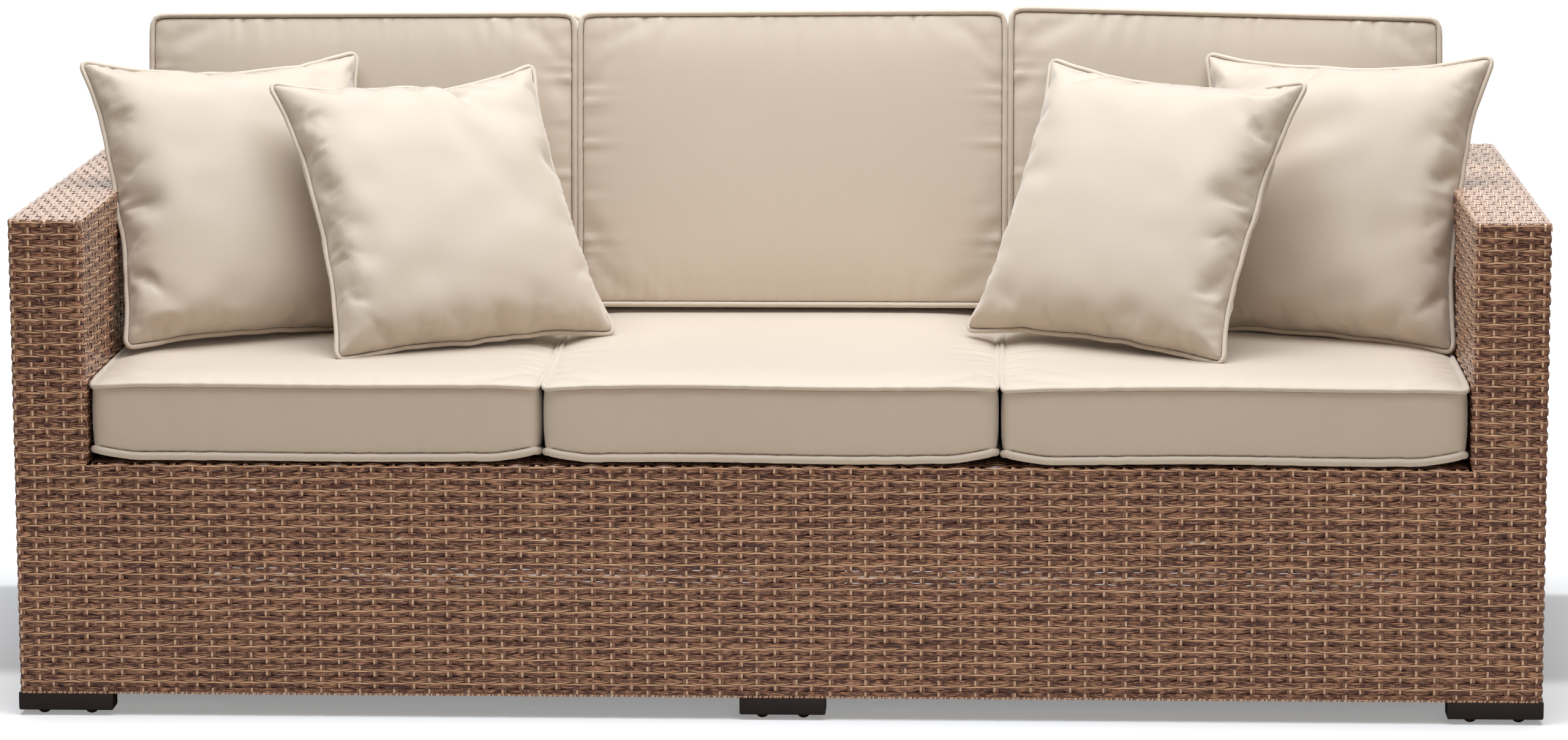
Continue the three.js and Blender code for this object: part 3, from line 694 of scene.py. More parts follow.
def weave_upper_arm(name, side, front, rise):
    """Above the seat, an arm's front runs on round the corner to its inner face. Every other
    one of its five front stakes turns over the top edge"""
    corners = [(side * HALF_WIDTH, FRONT_Y), (side * ARM_INNER_X, FRONT_Y),
               (side * ARM_INNER_X, BACK_FRONT_Y)]
    facing = [front[k] + HALF_WIDTH if side < 0 else HALF_WIDTH - front[-1 - k]
              for k in range(len(ARM_STAKES))]
    run = BACK_FRONT_Y - FRONT_Y - EDGE_RADIUS - SIDE_MARGIN - 4 * MM
    line = np.array(facing + spread(facing[-1] + EDGE_ARC + SIDE_MARGIN,
                                    run / INNER_STAKES, INNER_STAKES))
    plan = Path(corners[::-side], EDGE_RADIUS)
    first, turning = 0, line[:5:2]
    if side > 0:
        line = (plan.length - line)[::-1]
        first, turning = len(front) - len(line), line[-5::2]
    place = wall_place(plan, rise)
    rows = lay_rows(place, line, first, first, first + len(line) - 1, WALL_ROWS - SEAT_ROWS,
                    SEAT_ROWS, SEAT_TOP, seed=51 + side)
    stakes = set_stakes(place, line, (SEAT_TOP, WALL_STAKE[1]), seed=61 + side)
    turned = set_stakes(place, turning,
                        (WALL_END - 5 * MM, *over_the_edge(WALL_END),
                         WALL_END + TOP_ARC + 7 * MM), seed=61 + side)
    yield f"{name}_arm_weave_upper", f"{name}_arm_weave", rows, stakes, turned


def weave_arm_top(name, side):
    low = ARM_TOP - TURNED_DOWN
    near, far = FRONT_Y + TOP_TUCK, REAR_Y - TOP_TUCK
    lengthwise = Path([(near, low), (near, ARM_TOP), (far, ARM_TOP), (far, low)], TOP_RADIUS)
    left, right = sorted((side * ARM_INNER_X, side * HALF_WIDTH))
    crosswise = Path([(right, low), (right, ARM_TOP), (left, ARM_TOP), (left, low)],
                     TOP_RADIUS)
    place = top_place(lengthwise, crosswise)
    edge = TURNED_DOWN - TOP_RADIUS
    first_row = edge + TOP_START
    first = edge + TOP_ARC - TOP_RADIUS + EDGE_RADIUS + SIDE_MARGIN - TOP_TUCK
    line = uneven(spread(first, SIDE_RUN / SIDE_STAKES, SIDE_STAKES), 71 + side)
    line = np.concatenate(([0.0], line, [lengthwise.length]))
    rows = lay_rows(place, line, 0, 0, len(line) - 1, TOP_ROWS, TOP_FIRST_ROW, first_row,
                    pitch=(crosswise.length - 2 * first_row) / TOP_ROWS, seed=81 + side,
                    calm=0.4, lace=TOP_LACE_DEPTH)
    stops = [edge - 5 * MM, *over_the_edge(edge)]
    stops += [crosswise.length - stop for stop in stops[::-1]]
    stakes = set_stakes(place, line[1:-1], stops, seed=91 + side, deep=1.9 * MM)
    yield f"{name}_arm_top", f"{name}_arm_weave", rows, stakes


def weave_deck(lines, numbers):
    """The apron's edge, and the plainer deck under the cushions"""
    deck = Path([(FRONT_Y, WEAVE_BOTTOM), (FRONT_Y, SEAT_Z), (BACK_FRONT_Y, SEAT_Z)],
                TOP_RADIUS)
    place = profile_place(deck)
    rows = lay_rows(place, lines, *numbers, EDGE_ROWS, SEAT_ROWS, SEAT_TOP, seed=101)
    stakes = set_stakes(place, lines[1:-1],
                        (SEAT_TOP, *over_the_edge(SEAT_Z - WEAVE_BOTTOM - TOP_RADIUS),
                         deck.length), seed=102)
    yield "apron_edge", "apron_weave", rows, stakes

    start = SEAT_TOP + EDGE_ROWS * ROW_PITCH
    count = 2 * int((deck.length - start) / ROW_PITCH / 2)
    yield "deck_weave", "seat_deck", lay_rows(
        place, lines, *numbers, count, EDGE_ROWS + SEAT_ROWS, start,
        pitch=(deck.length - start) / count, fine=False, seed=103)


def weave_back(lines, numbers):
    """The plainer face behind the cushions, and the back's top above them"""
    back = Path([(BACK_FRONT_Y, SEAT_Z), (BACK_FRONT_Y, ARM_TOP), (REAR_Y, ARM_TOP),
                 (REAR_Y, ARM_TOP - TURNED_DOWN)], TOP_RADIUS)
    place = profile_place(back)
    turned = back.length - (TURNED_DOWN - TOP_RADIUS)
    end = turned - TOP_START
    count = 2 * round(end / ROW_PITCH / 2)
    pitch = end / count
    rows = lay_rows(place, lines, *numbers, SEAT_ROWS, 0, 0, pitch=pitch, fine=False,
                    seed=111)
    stakes = set_stakes(place, lines[1:-1],
                        (0, *over_the_edge(ARM_TOP - SEAT_Z - TOP_RADIUS),
                         *over_the_edge(turned - TOP_ARC), back.length - 2 * MM), seed=112)
    yield "back_face_weave", "back_weave", rows, stakes
    yield "back_top_weave", "back_weave", lay_rows(
        place, lines, *numbers, count - SEAT_ROWS, SEAT_ROWS, SEAT_ROWS * pitch, pitch=pitch,
        seed=113)


def woven_pieces():
    """Each piece of weave: its name, the node that it replaces, and its strands"""
    front = front_stakes()
    rise = Path([(0, WEAVE_BOTTOM), (0, ARM_TOP), (-0.05, ARM_TOP)], TOP_RADIUS)
    yield from weave_front(front, rise)
    yield from weave_sides(rise)
    yield from weave_rear(rise)
    for name, side in ARMS:
        yield from weave_upper_arm(name, side, front, rise)
        yield from weave_arm_top(name, side)
    # Between the arms the front's own stakes run on, over the deck and up the back
    lines = front[5:-5]
    lines = np.concatenate(([2 * lines[0] - lines[1]], lines, [2 * lines[-1] - lines[-2]]))
    numbers = (4, 4.5, len(front) - 5.5)  # of the first stake, and of the rows' two ends
    yield from weave_deck(lines, numbers)
    yield from weave_back(lines, numbers)


# -------- cushions and pillows

TOUCH = 0.5 * MM  # how near a point lies to a face or a rim that it belongs to
PLACES = ("left", "middle", "right")

CUSHION_WIDTH = 590 * MM
CUSHION_CORNER = 13 * MM
CUSHION_CELL = 10.5 * MM
PANEL_CUT = -0.01  # a panel is cut this much larger than the space between its seams

# The joints between the cushions aren't quite even
SEAT_EDGES = ((-897.5 * MM, -307.5 * MM), (-304.5 * MM, 290 * MM), (293 * MM, 897.5 * MM))
SEAT_SEAMS = (350 * MM, 444 * MM)
SEAT_MARGIN = 3 * MM
SEAT_SWELL = (11 * MM, 8.5 * MM, 3 * MM)
SEAT_WAVE = 1.2 * MM
SEAT_CORNER = 60 * MM  # how far from both sides a seat cushion's corners draw up or sink

BACK_EDGES = ((-900.5 * MM, -304.6 * MM), (-297.4 * MM, 297.4 * MM), (304.6 * MM, 900.5 * MM))
# How far the left and right end of each back cushion's top stands above its even height
BACK_TOPS = ((-2 * MM, 0.5 * MM), (0.5 * MM, 4 * MM), (9 * MM, -6 * MM))
BACK_HEIGHT = 402 * MM
BACK_THICKNESS = 128 * MM
BACK_SWELL = (13 * MM, 7 * MM, 2 * MM)
BACK_LEAN = math.radians(7)
BACK_SHIFT = (0, -1 * MM, -3 * MM)
ARM_ROOM = (2.5 * MM, 4.5 * MM)  # between an arm's weave and a cover, or its piping

# Piping: how far each cord stands out from its seam and above it, and its radius
SEAT_CORDS = ((0.8 * MM, -3.6 * MM, 5.5 * MM), (2.8 * MM, 0.2 * MM, 3.4 * MM))
BACK_CORDS = ((3.4 * MM, -1 * MM, 3.9 * MM), (3.4 * MM, 1.2 * MM, 3.9 * MM))
PILLOW_CORD = (3 * MM, 0, 3.3 * MM)

PILLOW_SIDE = 416 * MM  # of the flat sheets
PILLOW_SPAN = 397.5 * MM  # of the filled pillow, from tip to tip
PILLOW_THICKNESS = 140 * MM
PILLOW_CELL = 5 * MM
PILLOW_LUMPS = 14
PILLOW_LUMP = 0.58 * MM
PILLOW_GATHER = 30 * MM  # how far in from its rim a pillow is gathered
PILLOW_CALM = (45 * MM, 70 * MM)  # from there on, over so much, its middle is evened out
PILLOW_REST = 15 * MM  # how far the lower edge fills out where it rests
PILLOW_SEEDS = (301, 303)
# Each pillow: centre, its turn, lean and roll in degrees, then which of two covers it has and
# how many quarter turns that is given
PILLOWS = {
    "pillow_left_outer": ((-0.744, -0.036, 0.639), 30.7, 25.2, 1.4, 0, 0),
    "pillow_left_inner": ((-0.468, -0.075, 0.628), 30.8, 32.7, -0.3, 1, 0),
    "pillow_right_inner": ((0.473, -0.085, 0.634), -32.9, 30.2, 1.1, 0, 2),
    "pillow_right_outer": ((0.739, -0.007, 0.639), -24.0, 22.0, -0.5, 1, 1),
}


def turned_about(axis, angle):
    return Matrix.Rotation(angle, 4, axis)


def sewn_box(name, width, depth, height, cell):
    """A closed box of even cells, drawn out of a sheet"""
    deselect()
    bpy.ops.mesh.primitive_grid_add(x_subdivisions=round(width / cell),
                                    y_subdivisions=round(depth / cell), size=1)
    cover = named(name, bpy.context.object)
    edit_all()
    bpy.ops.transform.resize(value=(width, depth, 1))
    bpy.ops.transform.translate(value=(0, 0, -height / 2))
    layers = max(1, round(height / cell))
    for _ in range(layers):
        extrude(0, 0, height / layers)
    face_outwards()
    leave_edit()
    return cover


def rounded_plan(points, half_x, half_y, radius):
    """Draws the square corners of a plan in to round ones"""
    over_x = np.abs(points[:, 0]) - (half_x - radius)
    over_y = np.abs(points[:, 1]) - (half_y - radius)
    corner = (over_x > 0) & (over_y > 0)
    far = np.maximum(over_x, over_y)[corner] / np.hypot(over_x, over_y)[corner]
    rounded = points.copy()
    rounded[corner, 0] = np.sign(points[corner, 0]) * (half_x - radius + over_x[corner] * far)
    rounded[corner, 1] = np.sign(points[corner, 1]) * (half_y - radius + over_y[corner] * far)
    return rounded


def in_turn(flat, ring):
    """Puts the points of a seam in their order round it"""
    return ring[np.argsort(np.arctan2(flat[ring, 1], flat[ring, 0]))]


def weigh(cover, name, weights):
    """A vertex group of the points whose weight isn't nothing"""
    group = cover.vertex_groups.new(name=name)
    for point in np.nonzero(weights)[0]:
        group.add([int(point)], float(weights[point]), "REPLACE")
    return name


def fill_cover(cover, shrink=0, seams="", gather="", stiffness=15, bend=0.5, frames=20):
    """Blows a cover up as cloth. Seams hold their place, and gathered cloth draws in"""
    pick(cover)
    cloth = cover.modifiers.new("Cloth", "CLOTH")
    cloth.point_cache.frame_start = 1
    cloth.point_cache.frame_end = frames
    settings = cloth.settings
    settings.quality = 6
    settings.mass = 0.3
    settings.tension_stiffness = settings.compression_stiffness = stiffness
    settings.shear_stiffness = stiffness / 3
    settings.bending_stiffness = bend
    settings.use_pressure = True
    settings.uniform_pressure_force = 4
    settings.effector_weights.gravity = 0
    settings.shrink_min = shrink
    if seams:
        settings.vertex_group_mass = seams
        settings.pin_stiffness = 1
    if gather:
        settings.vertex_group_shrink = gather
        settings.shrink_max = 0.03
    for step in range(1, frames + 1):
        bpy.context.scene.frame_set(step)
    bpy.ops.object.modifier_apply(modifier=cloth.name)
    bpy.context.scene.frame_set(1)


def smooth_cover(cover):
    pick(cover)
    cover.modifiers.new("smooth", "SUBSURF").levels = 1
    cover.modifiers["smooth"].render_levels = 1
    bpy.ops.object.modifier_apply(modifier="smooth")
    bpy.ops.object.shade_smooth()


def puckers(along, inset, size, reach, seed):
    """Small gathers beside a seam, in groups: how far each point moves, from its place along
    the seam and its distance from it"""
    rng = np.random.default_rng(seed)
    ripple = np.zeros(len(along))
    for wavelength in (15, 19, 26, 34, 47):
        ripple += np.sin(along * 2 * math.pi / (wavelength * MM) + rng.uniform(0, 6.28))
    groups = 0.55 + 0.45 * np.sin(along * 2 * math.pi / 0.19 + rng.uniform(0, 6.28))
    inset = np.maximum(inset, 0)
    return size * ripple / 1.6 * groups * np.exp(-inset / reach) * np.minimum(inset / (4 * MM), 1)


def mark_seams(cover, rings, stretch):
    """Writes each cover point's distance from the nearest seam as a map. The further it is
    stretched, the narrower the shadow beside the seam"""
    points = points_of(cover.data)
    seams = np.concatenate([half for ring in rings for half in (
        points[ring], (points[ring] + points[np.roll(ring, 1)]) / 2)])
    tree = KDTree(len(seams))
    for number, place in enumerate(seams):
        tree.insert(place, number)
    tree.balance()
    distance = stretch * np.array([tree.find(point)[2] for point in points])
    write_map(cover.data, "Seams", distance, 0 * distance)


def box_cushion(name, depth, height, swells, drawn, stretch=(1, 1)):
    """A boxed cover, its panels filled between two seams. swells are the most that the top,
    bottom and sides may swell. Gives the cover and its seams as rings of point numbers"""
    width = CUSHION_WIDTH
    cover = sewn_box(name, width, depth, height, CUSHION_CELL)
    flat = points_of(cover.data)
    rim = ((np.abs(flat[:, 0]) > width / 2 - TOUCH) | (np.abs(flat[:, 1]) > depth / 2 - TOUCH))
    rings = [in_turn(flat, np.nonzero(rim & (np.abs(flat[:, 2] - level) < TOUCH))[0])
             for level in (-height / 2, height / 2)]
    start = rounded_plan(flat, width / 2, depth / 2, CUSHION_CORNER)
    set_points(cover.data, start)
    sewn = np.zeros(len(flat))
    sewn[np.concatenate(rings)] = 1
    fill_cover(cover, PANEL_CUT, weigh(cover, "seams", sewn))
    cover.vertex_groups.clear()

    swell = points_of(cover.data) - start
    top_swell, bottom_swell, side_swell = swells
    most = np.full(len(flat), side_swell)
    most[~rim & (flat[:, 2] > height / 2 - TOUCH)] = top_swell
    most[~rim & (flat[:, 2] < TOUCH - height / 2)] = bottom_swell
    size = np.maximum(np.linalg.norm(swell, axis=1), 1e-9)
    kept = most * np.tanh(size / most) / size
    set_points(cover.data, start + swell * kept[:, None])
    smooth_cover(cover)

    shape = points_of(cover.data)
    inset_x, inset_y = width / 2 - np.abs(shape[:, 0]), depth / 2 - np.abs(shape[:, 1])
    inset = np.minimum(inset_x, inset_y)
    along = np.where(inset_x < inset_y, shape[:, 1], shape[:, 0] + 2)
    panel = np.clip(np.abs(shape[:, 2]) / (height / 2) * 6 - 5, 0, 1)
    shape[:, 2] += (puckers(along, inset, drawn, 22 * MM, 401) * panel
                    * np.sign(shape[:, 2]))
    set_points(cover.data, shape)
    mark_seams(cover, rings, np.where(inset > 1.5 * MM, *stretch))
    return cover, rings


def pillow_sheets(name, rng):
    """Two sheets sewn at their rim, a little uneven so that no two sides fill alike"""
    cover = sewn_box(name, PILLOW_SIDE, PILLOW_SIDE, 2 * MM, PILLOW_CELL)
    flat = points_of(cover.data)
    half = PILLOW_SIDE / 2
    reach = np.abs(flat[:, :2]).max(1)
    flat[reach > half - TOUCH, 2] = 0
    inward = np.clip(1 - reach / half, 0, 1)
    flat[:, 2] *= 1 + 20 * np.sqrt(inward)
    lumps = np.zeros(len(flat))
    for _ in range(PILLOW_LUMPS):
        wave, heading, phase = rng.uniform((20, 0, 0), (130, 6.28, 6.28))
        lumps += PILLOW_LUMP * np.sin(wave * (flat[:, 0] * math.cos(heading)
                                              + flat[:, 1] * math.sin(heading)) + phase)
    lumps += rng.normal(0, 0.1 * MM, len(flat))
    flat[:, 2] += lumps * np.minimum(inward * 12, 1)
    set_points(cover.data, flat)
    pick(cover)
    edit_all()
    bpy.ops.mesh.remove_doubles(threshold=0.2 * MM)
    leave_edit()
    return cover


def knife_pillow(name, seed):
    """A pillow with no side panels, gathered a little along its rim and blown up. Gives the
    cover and its rim as a ring of point numbers"""
    cover = pillow_sheets(name, np.random.default_rng(seed))
    flat = points_of(cover.data)
    reach = np.abs(flat[:, :2]).max(1)
    inset = PILLOW_SIDE / 2 - reach
    ring = in_turn(flat, np.nonzero(inset < TOUCH)[0])
    gathered = weigh(cover, "gather", np.clip(1 - inset / PILLOW_GATHER, 0, 1))
    fill_cover(cover, gather=gathered, stiffness=60, bend=0.05, frames=24)
    cover.vertex_groups.clear()
    even = cover.modifiers.new("even", "SMOOTH")
    even.factor = 0.5
    even.iterations = 90
    start, over = PILLOW_CALM
    even.vertex_group = weigh(cover, "middle", np.clip((inset - start) / over, 0, 1))
    apply_modifiers(cover)
    cover.vertex_groups.clear()

    filled = points_of(cover.data)
    filled -= filled.mean(0)
    for _ in range(3):
        filled[ring] = eased(filled[ring])
    rim = filled[ring]
    tips = [rim[np.argmax(rim[:, 0] * x + rim[:, 1] * y)]
            for x, y in ((1, 1), (-1, 1), (-1, -1), (1, -1))]
    span = np.mean([np.linalg.norm(tips[k] - tips[k - 1]) for k in range(4)])
    filled[:, :2] *= PILLOW_SPAN / span
    filled[:, 2] *= PILLOW_THICKNESS / np.ptp(filled[:, 2])

    wide = np.abs(flat[:, 0]) > np.abs(flat[:, 1])
    along = np.where(wide, flat[:, 1] + 0.5 * np.sign(flat[:, 0]),
                     flat[:, 0] + 0.5 * np.sign(flat[:, 1]) + 2)
    clear = np.clip(np.abs(np.abs(flat[:, 0]) - np.abs(flat[:, 1])) / (15 * MM), 0, 1)
    side = np.where(filled[:, 2] > 0, 1, -1)
    filled[:, 2] += side * clear * puckers(along + side, inset, 2.8 * MM, 18 * MM, seed)
    set_points(cover.data, filled)
    mark_seams(cover, [ring], 1)
    return cover, ring


def eased(loop):
    """Evens out a closed loop of points a little"""
    return (np.roll(loop, 1, 0) + 2 * loop + np.roll(loop, -1, 0)) / 4


def beside(loop, outward, upward):
    """A ring moved outwards in its own plane, and up"""
    ahead = np.roll(loop, -1, 0) - np.roll(loop, 1, 0)
    side = np.column_stack((ahead[:, 1], -ahead[:, 0], np.zeros(len(loop))))
    side /= np.linalg.norm(side, axis=1)[:, None]
    return loop + side * outward + (0, 0, upward)


def piping(loop, radius):
    """A sewn-in cord round a closed loop of points"""
    curve = bpy.data.curves.new("piping", "CURVE")
    curve.dimensions = "3D"
    curve.bevel_depth = radius
    curve.bevel_resolution = 2
    curve.use_fill_caps = False
    line = curve.splines.new("POLY")
    line.points.add(len(loop) - 1)
    line.points.foreach_set("co", np.column_stack((loop, np.ones(len(loop)))).ravel())
    line.use_cyclic_u = True
    cord = bpy.data.objects.new("piping", curve)
    bpy.context.scene.collection.objects.link(cord)
    pick(cord)
    bpy.ops.object.convert(target="MESH")
    cord = bpy.context.object
    pick(cord)
    bpy.ops.object.shade_smooth()
    return cord


def placed(points, turn, shift=(0, 0, 0)):
    return points @ np.array(turn.to_3x3()).T + np.array(shift)


def between_arms(points, room):
    """Keeps points out of the arms, and lets them swell over the arms' tops"""
    above = np.clip((points[:, 2] - ARM_TOP) / (30 * MM), 0, 1)
    limit = ARM_INNER_X - room + 15 * MM * above
    points[:, 0] = np.clip(points[:, 0], -limit, limit)
    return points


def one_of_three(shape, number, edges):
    """The middle cushion is the same form turned round, and each has its own width"""
    left, right = edges[number]
    points = placed(shape, turned_about("Z", math.pi * (number % 2)))
    points[:, 0] *= (right - left) / (2 * points[:, 0].max())
    return points, (left + right) / 2


def cushion(node, slot, cover, cord, fabric):
    """Dresses a cover and its cords, fabric being the finish of each"""
    for piece, finish in zip((cover, cord), fabric):
        dress(piece, finish, node, slot, node)


def set_seat_cushions(fabric):
    low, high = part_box("seat_cushion_middle")
    seam_low, seam_high = SEAT_SEAMS
    depth, height = high.y - low.y - 2 * SEAT_MARGIN, seam_high - seam_low
    form, rings = box_cushion("seat_form", depth, height, SEAT_SWELL, 0.8 * MM, (4, 0.46))
    shape = points_of(form.data)
    # The lower corners draw up, and the upper ones sink a little
    near_x, near_y = (
        np.clip((np.abs(shape[:, axis]) - half + SEAT_CORNER) / SEAT_CORNER, 0, 1)
        for axis, half in ((0, CUSHION_WIDTH / 2), (1, depth / 2)))
    level = (shape[:, 2] + height / 2) / height
    shape[:, 2] += (near_x * near_y) ** 1.3 * (10 * MM * (1 - level) - 3 * MM * level)
    for number, name in enumerate(PLACES):
        phase = np.random.default_rng(200 + number).uniform(0, 6.28, 4)
        wavy = shape.copy()
        wavy[:, 2] += (SEAT_WAVE * np.sin(shape[:, 0] * 14 + phase[0])
                       * np.cos(shape[:, 1] * 9 + phase[1]))
        points, middle = one_of_three(wavy, number, SEAT_EDGES)
        points += (middle, (low.y + high.y) / 2, (seam_low + seam_high) / 2)
        cover = duplicate(form, f"seat_cover_{name}")
        set_points(cover.data, points)
        cords = [piping(beside(points[ring], outward, upward), radius)
                 for ring, (outward, upward, radius) in zip(rings, SEAT_CORDS)]
        cushion(f"seat_cushion_{name}", "cushion", cover,
                joined(f"seat_piping_{name}", *cords), fabric)
    bpy.data.objects.remove(form)


def set_back_cushions(fabric):
    low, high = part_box("back_cushion_middle")
    form, rings = box_cushion("back_form", BACK_HEIGHT, BACK_THICKNESS, BACK_SWELL, 1.5 * MM)
    shape = points_of(form.data)
    lean = turned_about("X", math.pi / 2 - BACK_LEAN)
    centre = (low + high) / 2 + Vector(BACK_SHIFT)
    for number, name in enumerate(PLACES):
        points, middle = one_of_three(shape, number, BACK_EDGES)
        half = points[:, 0].max()
        level = np.clip(points[:, 1] / BACK_HEIGHT + 0.5, 0, 1)
        points[:, 1] += level * np.interp(points[:, 0], (-half, half), BACK_TOPS[number])
        shift = (middle, *centre.yz)
        cords = [piping(between_arms(placed(beside(points[ring], outward, upward),
                                            lean, shift), ARM_ROOM[1]), radius)
                 for ring, (outward, upward, radius) in zip(rings, BACK_CORDS)]
        cover = duplicate(form, f"back_cover_{name}")
        set_points(cover.data, between_arms(placed(points, lean, shift), ARM_ROOM[0]))
        cushion(f"back_cushion_{name}", "cushion", cover,
                joined(f"back_piping_{name}", *cords), fabric)
    bpy.data.objects.remove(form)


def set_pillows(fabric):
    outward, upward, radius = PILLOW_CORD
    forms = [knife_pillow(f"pillow_form_{seed}", seed) for seed in PILLOW_SEEDS]
    for node, (centre, turn, tilt, roll, which, quarters) in PILLOWS.items():
        form, ring = forms[which]
        spin = (turned_about("Z", math.radians(turn)) @ turned_about("X", math.radians(-tilt))
                @ turned_about("Y", math.radians(roll)) @ turned_about("X", math.pi / 2))
        points = placed(points_of(form.data), turned_about("Z", quarters * math.pi / 2))
        # The lower edge rests, so it's straighter than the others
        down = np.clip(-2 * points[:, 1] / PILLOW_SPAN, 0, 1) ** 2
        points[:, 1] -= (PILLOW_REST * down
                         * np.clip(1 - (2 * points[:, 0] / PILLOW_SPAN) ** 2, 0, 1))
        cover = duplicate(form, f"cover_{node}")
        set_points(cover.data, placed(points, spin, centre))
        pick(cover)
        bpy.ops.object.shade_smooth()
        loop = placed(eased(beside(points[ring], outward, upward)), spin, centre)
        cushion(node, "pillow", cover, named(f"piping_{node}", piping(loop, radius)), fabric)
    for form, _ in forms:
        bpy.data.objects.remove(form)


# -------- feet

FOOT_BAR = 34 * MM
FOOT_CHAMFER = 3.2 * MM
FOOT_EDGE = 0.9 * MM
GLIDE_DOME = 6.4 * MM
GLIDE_RIM = 0.3 * MM
GLIDE_STEM = 3.2 * MM


def select_where(obj, kind, wanted):
    """Selects the faces or edges of a piece that are wanted, by their place or normal"""
    bpy.ops.mesh.select_mode(type=kind)
    bpy.ops.mesh.select_all(action="DESELECT")
    mesh = bmesh.from_edit_mesh(obj.data)
    for part in mesh.faces if kind == "FACE" else mesh.edges:
        part.select_set(wanted(part))
    bmesh.update_edit_mesh(obj.data)


def foot(node, material):
    """A moulded foot block: a straight bar, or two that meet at a corner"""
    low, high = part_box(node)
    size = high - low
    middle = (low + high) / 2
    inward = 1 if middle.y < 0 else -1
    outer_y = low.y if middle.y < 0 else high.y
    deselect()
    bpy.ops.mesh.primitive_cube_add(size=1)
    block = named(f"block_{node}", bpy.context.object)
    edit_all()
    bpy.ops.transform.resize(value=(size.x, FOOT_BAR, size.z))
    bpy.ops.transform.translate(value=(middle.x, outer_y + inward * FOOT_BAR / 2, middle.z))
    if size.y > 1.5 * FOOT_BAR:
        side = -1 if middle.x < 0 else 1
        cut = (low.x if side < 0 else high.x) - side * FOOT_BAR
        bpy.ops.mesh.bisect(plane_co=(cut, 0, 0), plane_no=(1, 0, 0))
        select_where(block, "FACE", lambda face: face.normal.y * inward > 0.9
                     and face.calc_center_median().x * side > cut * side)
        extrude(0, inward * (size.y - FOOT_BAR), 0)
        bpy.ops.mesh.select_all(action="SELECT")
        bpy.ops.mesh.dissolve_limited(angle_limit=math.radians(1))
    select_where(block, "EDGE", lambda edge: all(
        abs(vertex.co.z - low.z) < 0.1 * MM for vertex in edge.verts))
    bpy.ops.mesh.bevel(offset=FOOT_CHAMFER, segments=2, profile=0.6)
    leave_edit()
    edges = block.modifiers.new("edges", "BEVEL")
    edges.width = FOOT_EDGE
    edges.segments = 2
    edges.limit_method = "ANGLE"
    edges.angle_limit = math.radians(35)
    apply_modifiers(block)
    smooth_under(40)
    dress(block, material, "sofa_frame", "foot", node)


def dome_glides(material):
    """Turned glides: a shallow dome on a stem"""
    low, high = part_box("glide_front_left_1")
    radius, rise = (high.x - low.x) / 2, high.z - low.z
    arc = [math.radians(18 * step) for step in range(6)]
    profile = [(radius * math.sin(turn), GLIDE_DOME * (1 - math.cos(turn))) for turn in arc]
    rim = GLIDE_DOME + GLIDE_RIM
    profile += [(radius - 2 * GLIDE_RIM, rim), (GLIDE_STEM, rim), (GLIDE_STEM, rise), (0, rise)]
    deselect()
    bpy.ops.mesh.primitive_circle_add(vertices=3, fill_type="NOTHING")
    glide = bpy.context.object
    edit_all()
    mesh = bmesh.from_edit_mesh(glide.data)
    mesh.clear()
    line = [mesh.verts.new((x, 0, z)) for x, z in profile]
    for first, second in zip(line, line[1:]):
        mesh.edges.new((first, second))
    bmesh.update_edit_mesh(glide.data)
    bpy.ops.mesh.select_all(action="SELECT")
    bpy.ops.mesh.spin(steps=24, angle=2 * math.pi, center=(0, 0, 0), axis=(0, 0, 1))
    bpy.ops.mesh.select_all(action="SELECT")
    bpy.ops.mesh.remove_doubles(threshold=0.01 * MM)
    face_outwards()
    leave_edit()
    smooth_under(40)
    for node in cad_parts:
        if node.startswith("glide"):
            low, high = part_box(node)
            copy = duplicate(glide, f"turned_{node}")
            copy.data.transform(Matrix.Translation(((low.x + high.x) / 2,
                                                    (low.y + high.y) / 2, low.z)))
            dress(copy, material, "sofa_frame", "glide", node)
    bpy.data.objects.remove(glide)


# -------- studio and camera

AMBIENT = 0.12
WHITE = (1.0, 1.0, 1.0)

CAMERA_PLACE = (0.29518, -6.77837, 1.59777)
CAMERA_TURN = (-2.52, 8.97, -0.22)  # yaw, pitch and roll in degrees
CAMERA_LENS = 114.828
CAMERA_SHIFT = (-0.00106, -0.06016)


def studio_floor():
    """A floor that shows white away from the sofa, and takes shadow beneath it"""
    deselect()
    bpy.ops.mesh.primitive_plane_add(size=60, location=(0, 15, 0))
    floor = named("studio_floor", bpy.context.object)
    bpy.ops.object.transform_apply(location=True)
    material, n, shader = new_material("studio_white")
    place = n.place()
    oval = n.add("ShaderNodeVectorMath", operation="MULTIPLY")
    n.feed(oval.inputs, (place,))
    oval.inputs[1].default_value = (0.62, 1, 0)
    distance = n.add("ShaderNodeVectorMath", operation="LENGTH")
    n.feed(distance.inputs, (oval.outputs[0],))
    away = n.step(distance.outputs["Value"], 0.8, 1.6)
    rearward = n.split(place)["Y"]
    beneath = n.times(n.step(rearward, -0.2, -0.12), n.step(rearward, 0.40, 0.36))
    glow = n.plus(n.times(n.rest(beneath), 0.27), n.times(away, 0.73))
    rays = n.add("ShaderNodeLightPath").outputs
    bounced = n.mix(rays["Is Diffuse Ray"], (0.86, 0.86, 0.86), (0.84, 0.77, 0.69))
    n.finish(shader, {
        "Base Color": n.mix(rays["Is Glossy Ray"], bounced, (0.3, 0.3, 0.3)),
        "Roughness": 0.9, "Specular IOR Level": 0.1, "Emission Color": WHITE,
        "Emission Strength": n.times(rays["Is Camera Ray"], glow)})
    floor.data.materials.append(material)


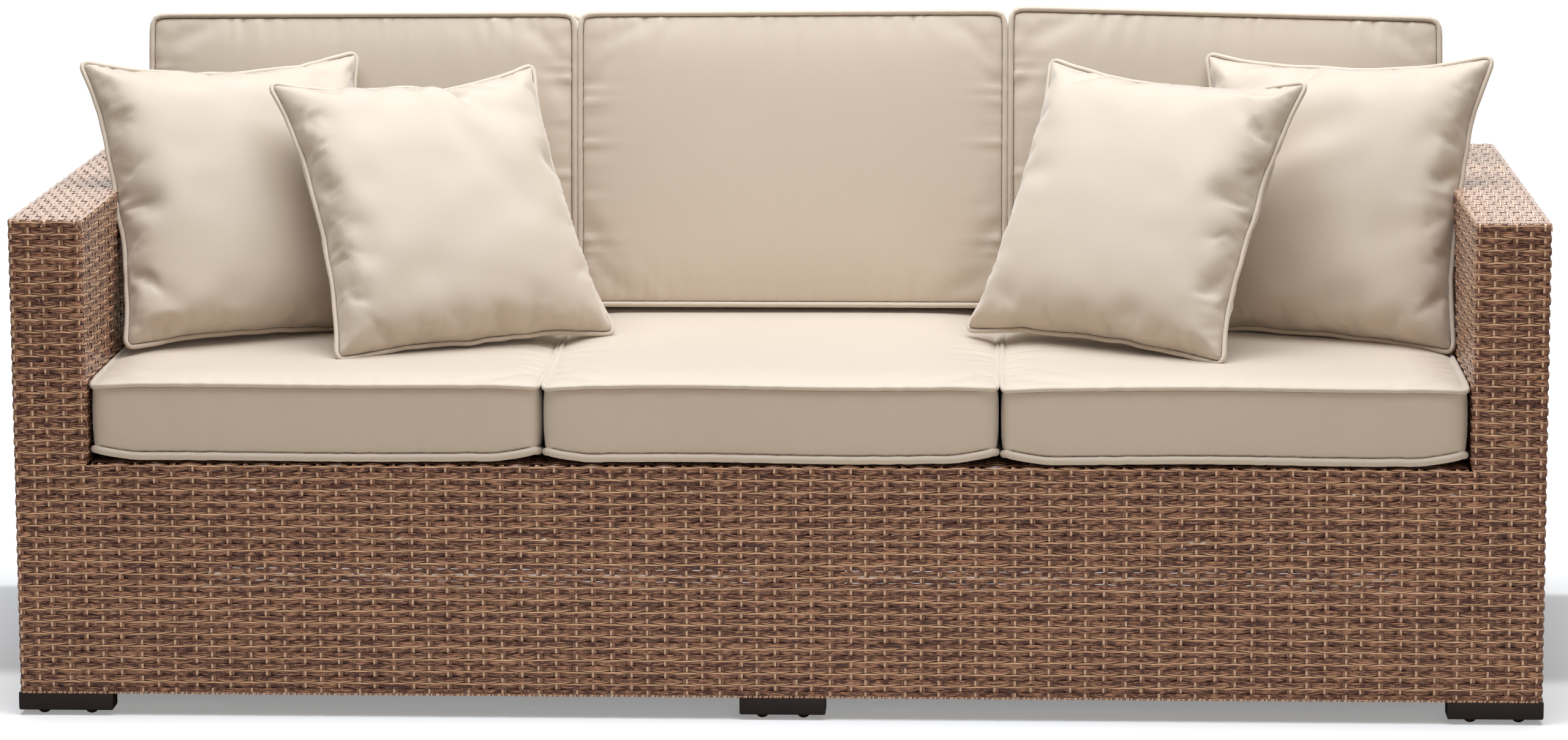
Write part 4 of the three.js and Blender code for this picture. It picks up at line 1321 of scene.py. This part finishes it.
def studio_world():
    """White where it's seen, and a faint warm light elsewhere"""
    world = bpy.data.worlds.new("studio_world")
    bpy.context.scene.world = world
    world.use_nodes = True
    n = Nodes(world.node_tree)
    rays = n.add("ShaderNodeLightPath").outputs
    heading = n.split(n.add("ShaderNodeTexCoord").outputs["Generated"])
    seen = n.most(n.most(rays["Is Camera Ray"], rays["Is Transmission Ray"]),
                  n.times(rays["Is Glossy Ray"], n.step(heading["Y"], 0.0, 0.5)))
    n.finish(world.node_tree.nodes["Background"], {
        "Color": n.mix(seen, (1.0, 0.91, 0.81), WHITE),
        "Strength": n.plus(AMBIENT, n.times(seen, 1 - AMBIENT))})


def stand(name, data, turn, place):
    thing = bpy.data.objects.new(name, data)
    bpy.context.scene.collection.objects.link(thing)
    thing.matrix_world = Matrix.Translation(place) @ turn
    return thing


def softbox(name, place, target, size, power, tint):
    light = bpy.data.lights.new(name, "AREA")
    light.color = tint
    light.shape = "RECTANGLE"
    light.size, light.size_y = size
    light.energy = power
    heading = Vector(target) - Vector(place)
    stand(name, light, heading.to_track_quat("-Z", "Y").to_matrix().to_4x4(), place)


def photo_camera():
    camera = bpy.data.cameras.new("photo_camera")
    camera.lens = CAMERA_LENS
    camera.sensor_width = 36
    camera.shift_x, camera.shift_y = CAMERA_SHIFT
    camera.clip_end = 100
    yaw, pitch, roll = (math.radians(angle) for angle in CAMERA_TURN)
    turn = (turned_about("Z", -yaw) @ turned_about("X", math.pi / 2 - pitch)
            @ turned_about("Z", roll))
    bpy.context.scene.camera = stand("photo_camera", camera, turn, CAMERA_PLACE)


# -------- the sofa

bpy.context.scene.view_settings.view_transform = "Standard"
strand = woven_material()
for name, node, *parts in woven_pieces():
    dress(joined(name, *parts), strand, "sofa_frame", "weave", node)

polyester = polyester_group()
piping_fabric = fabric_material("beige_piping", polyester, 1, sewn=False)
# One fabric in lit and shaded copies: the backs are painted 4% lighter and the pillows 6% darker,
# as painted light
for name, painted_light_scale, set_pieces in (("seats", 1, set_seat_cushions),
                               ("backs", 1.04, set_back_cushions),
                               ("pillows", 0.94, set_pillows)):
    set_pieces((fabric_material(f"beige_polyester_{name}", polyester, painted_light_scale), piping_fabric))

worn_grain = worn_grain_group()
black = worn_material("black_foot", worn_grain, (0.020, 0.012, 0.010), 0.5)
tube_paint = worn_material("tube_paint", worn_grain, (0.055, 0.045, 0.040), 0.45)
for side in PLACES:
    for end in ("front", "rear"):
        foot(f"foot_{end}_{side}", black)
dome_glides(black)

# The tubes and screws, which no piece above stands in for
for name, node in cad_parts.items():
    if not node.hide_render:
        node.data.materials.clear()
        node.data.materials.append(tube_paint if name.endswith("frame") else black)

studio_floor()
studio_world()
softbox("overhead_softbox", (0, -0.3, 3.2), (0, 0.1, 0.4), (3.6, 2.4), 162, (0.96, 1.01, 1.07))
softbox("front_softbox", (1.6, -5.3, 2.6), (0, 0, 0.4), (2.6, 1.8), 33, (1.03, 0.93, 0.83))
photo_camera()
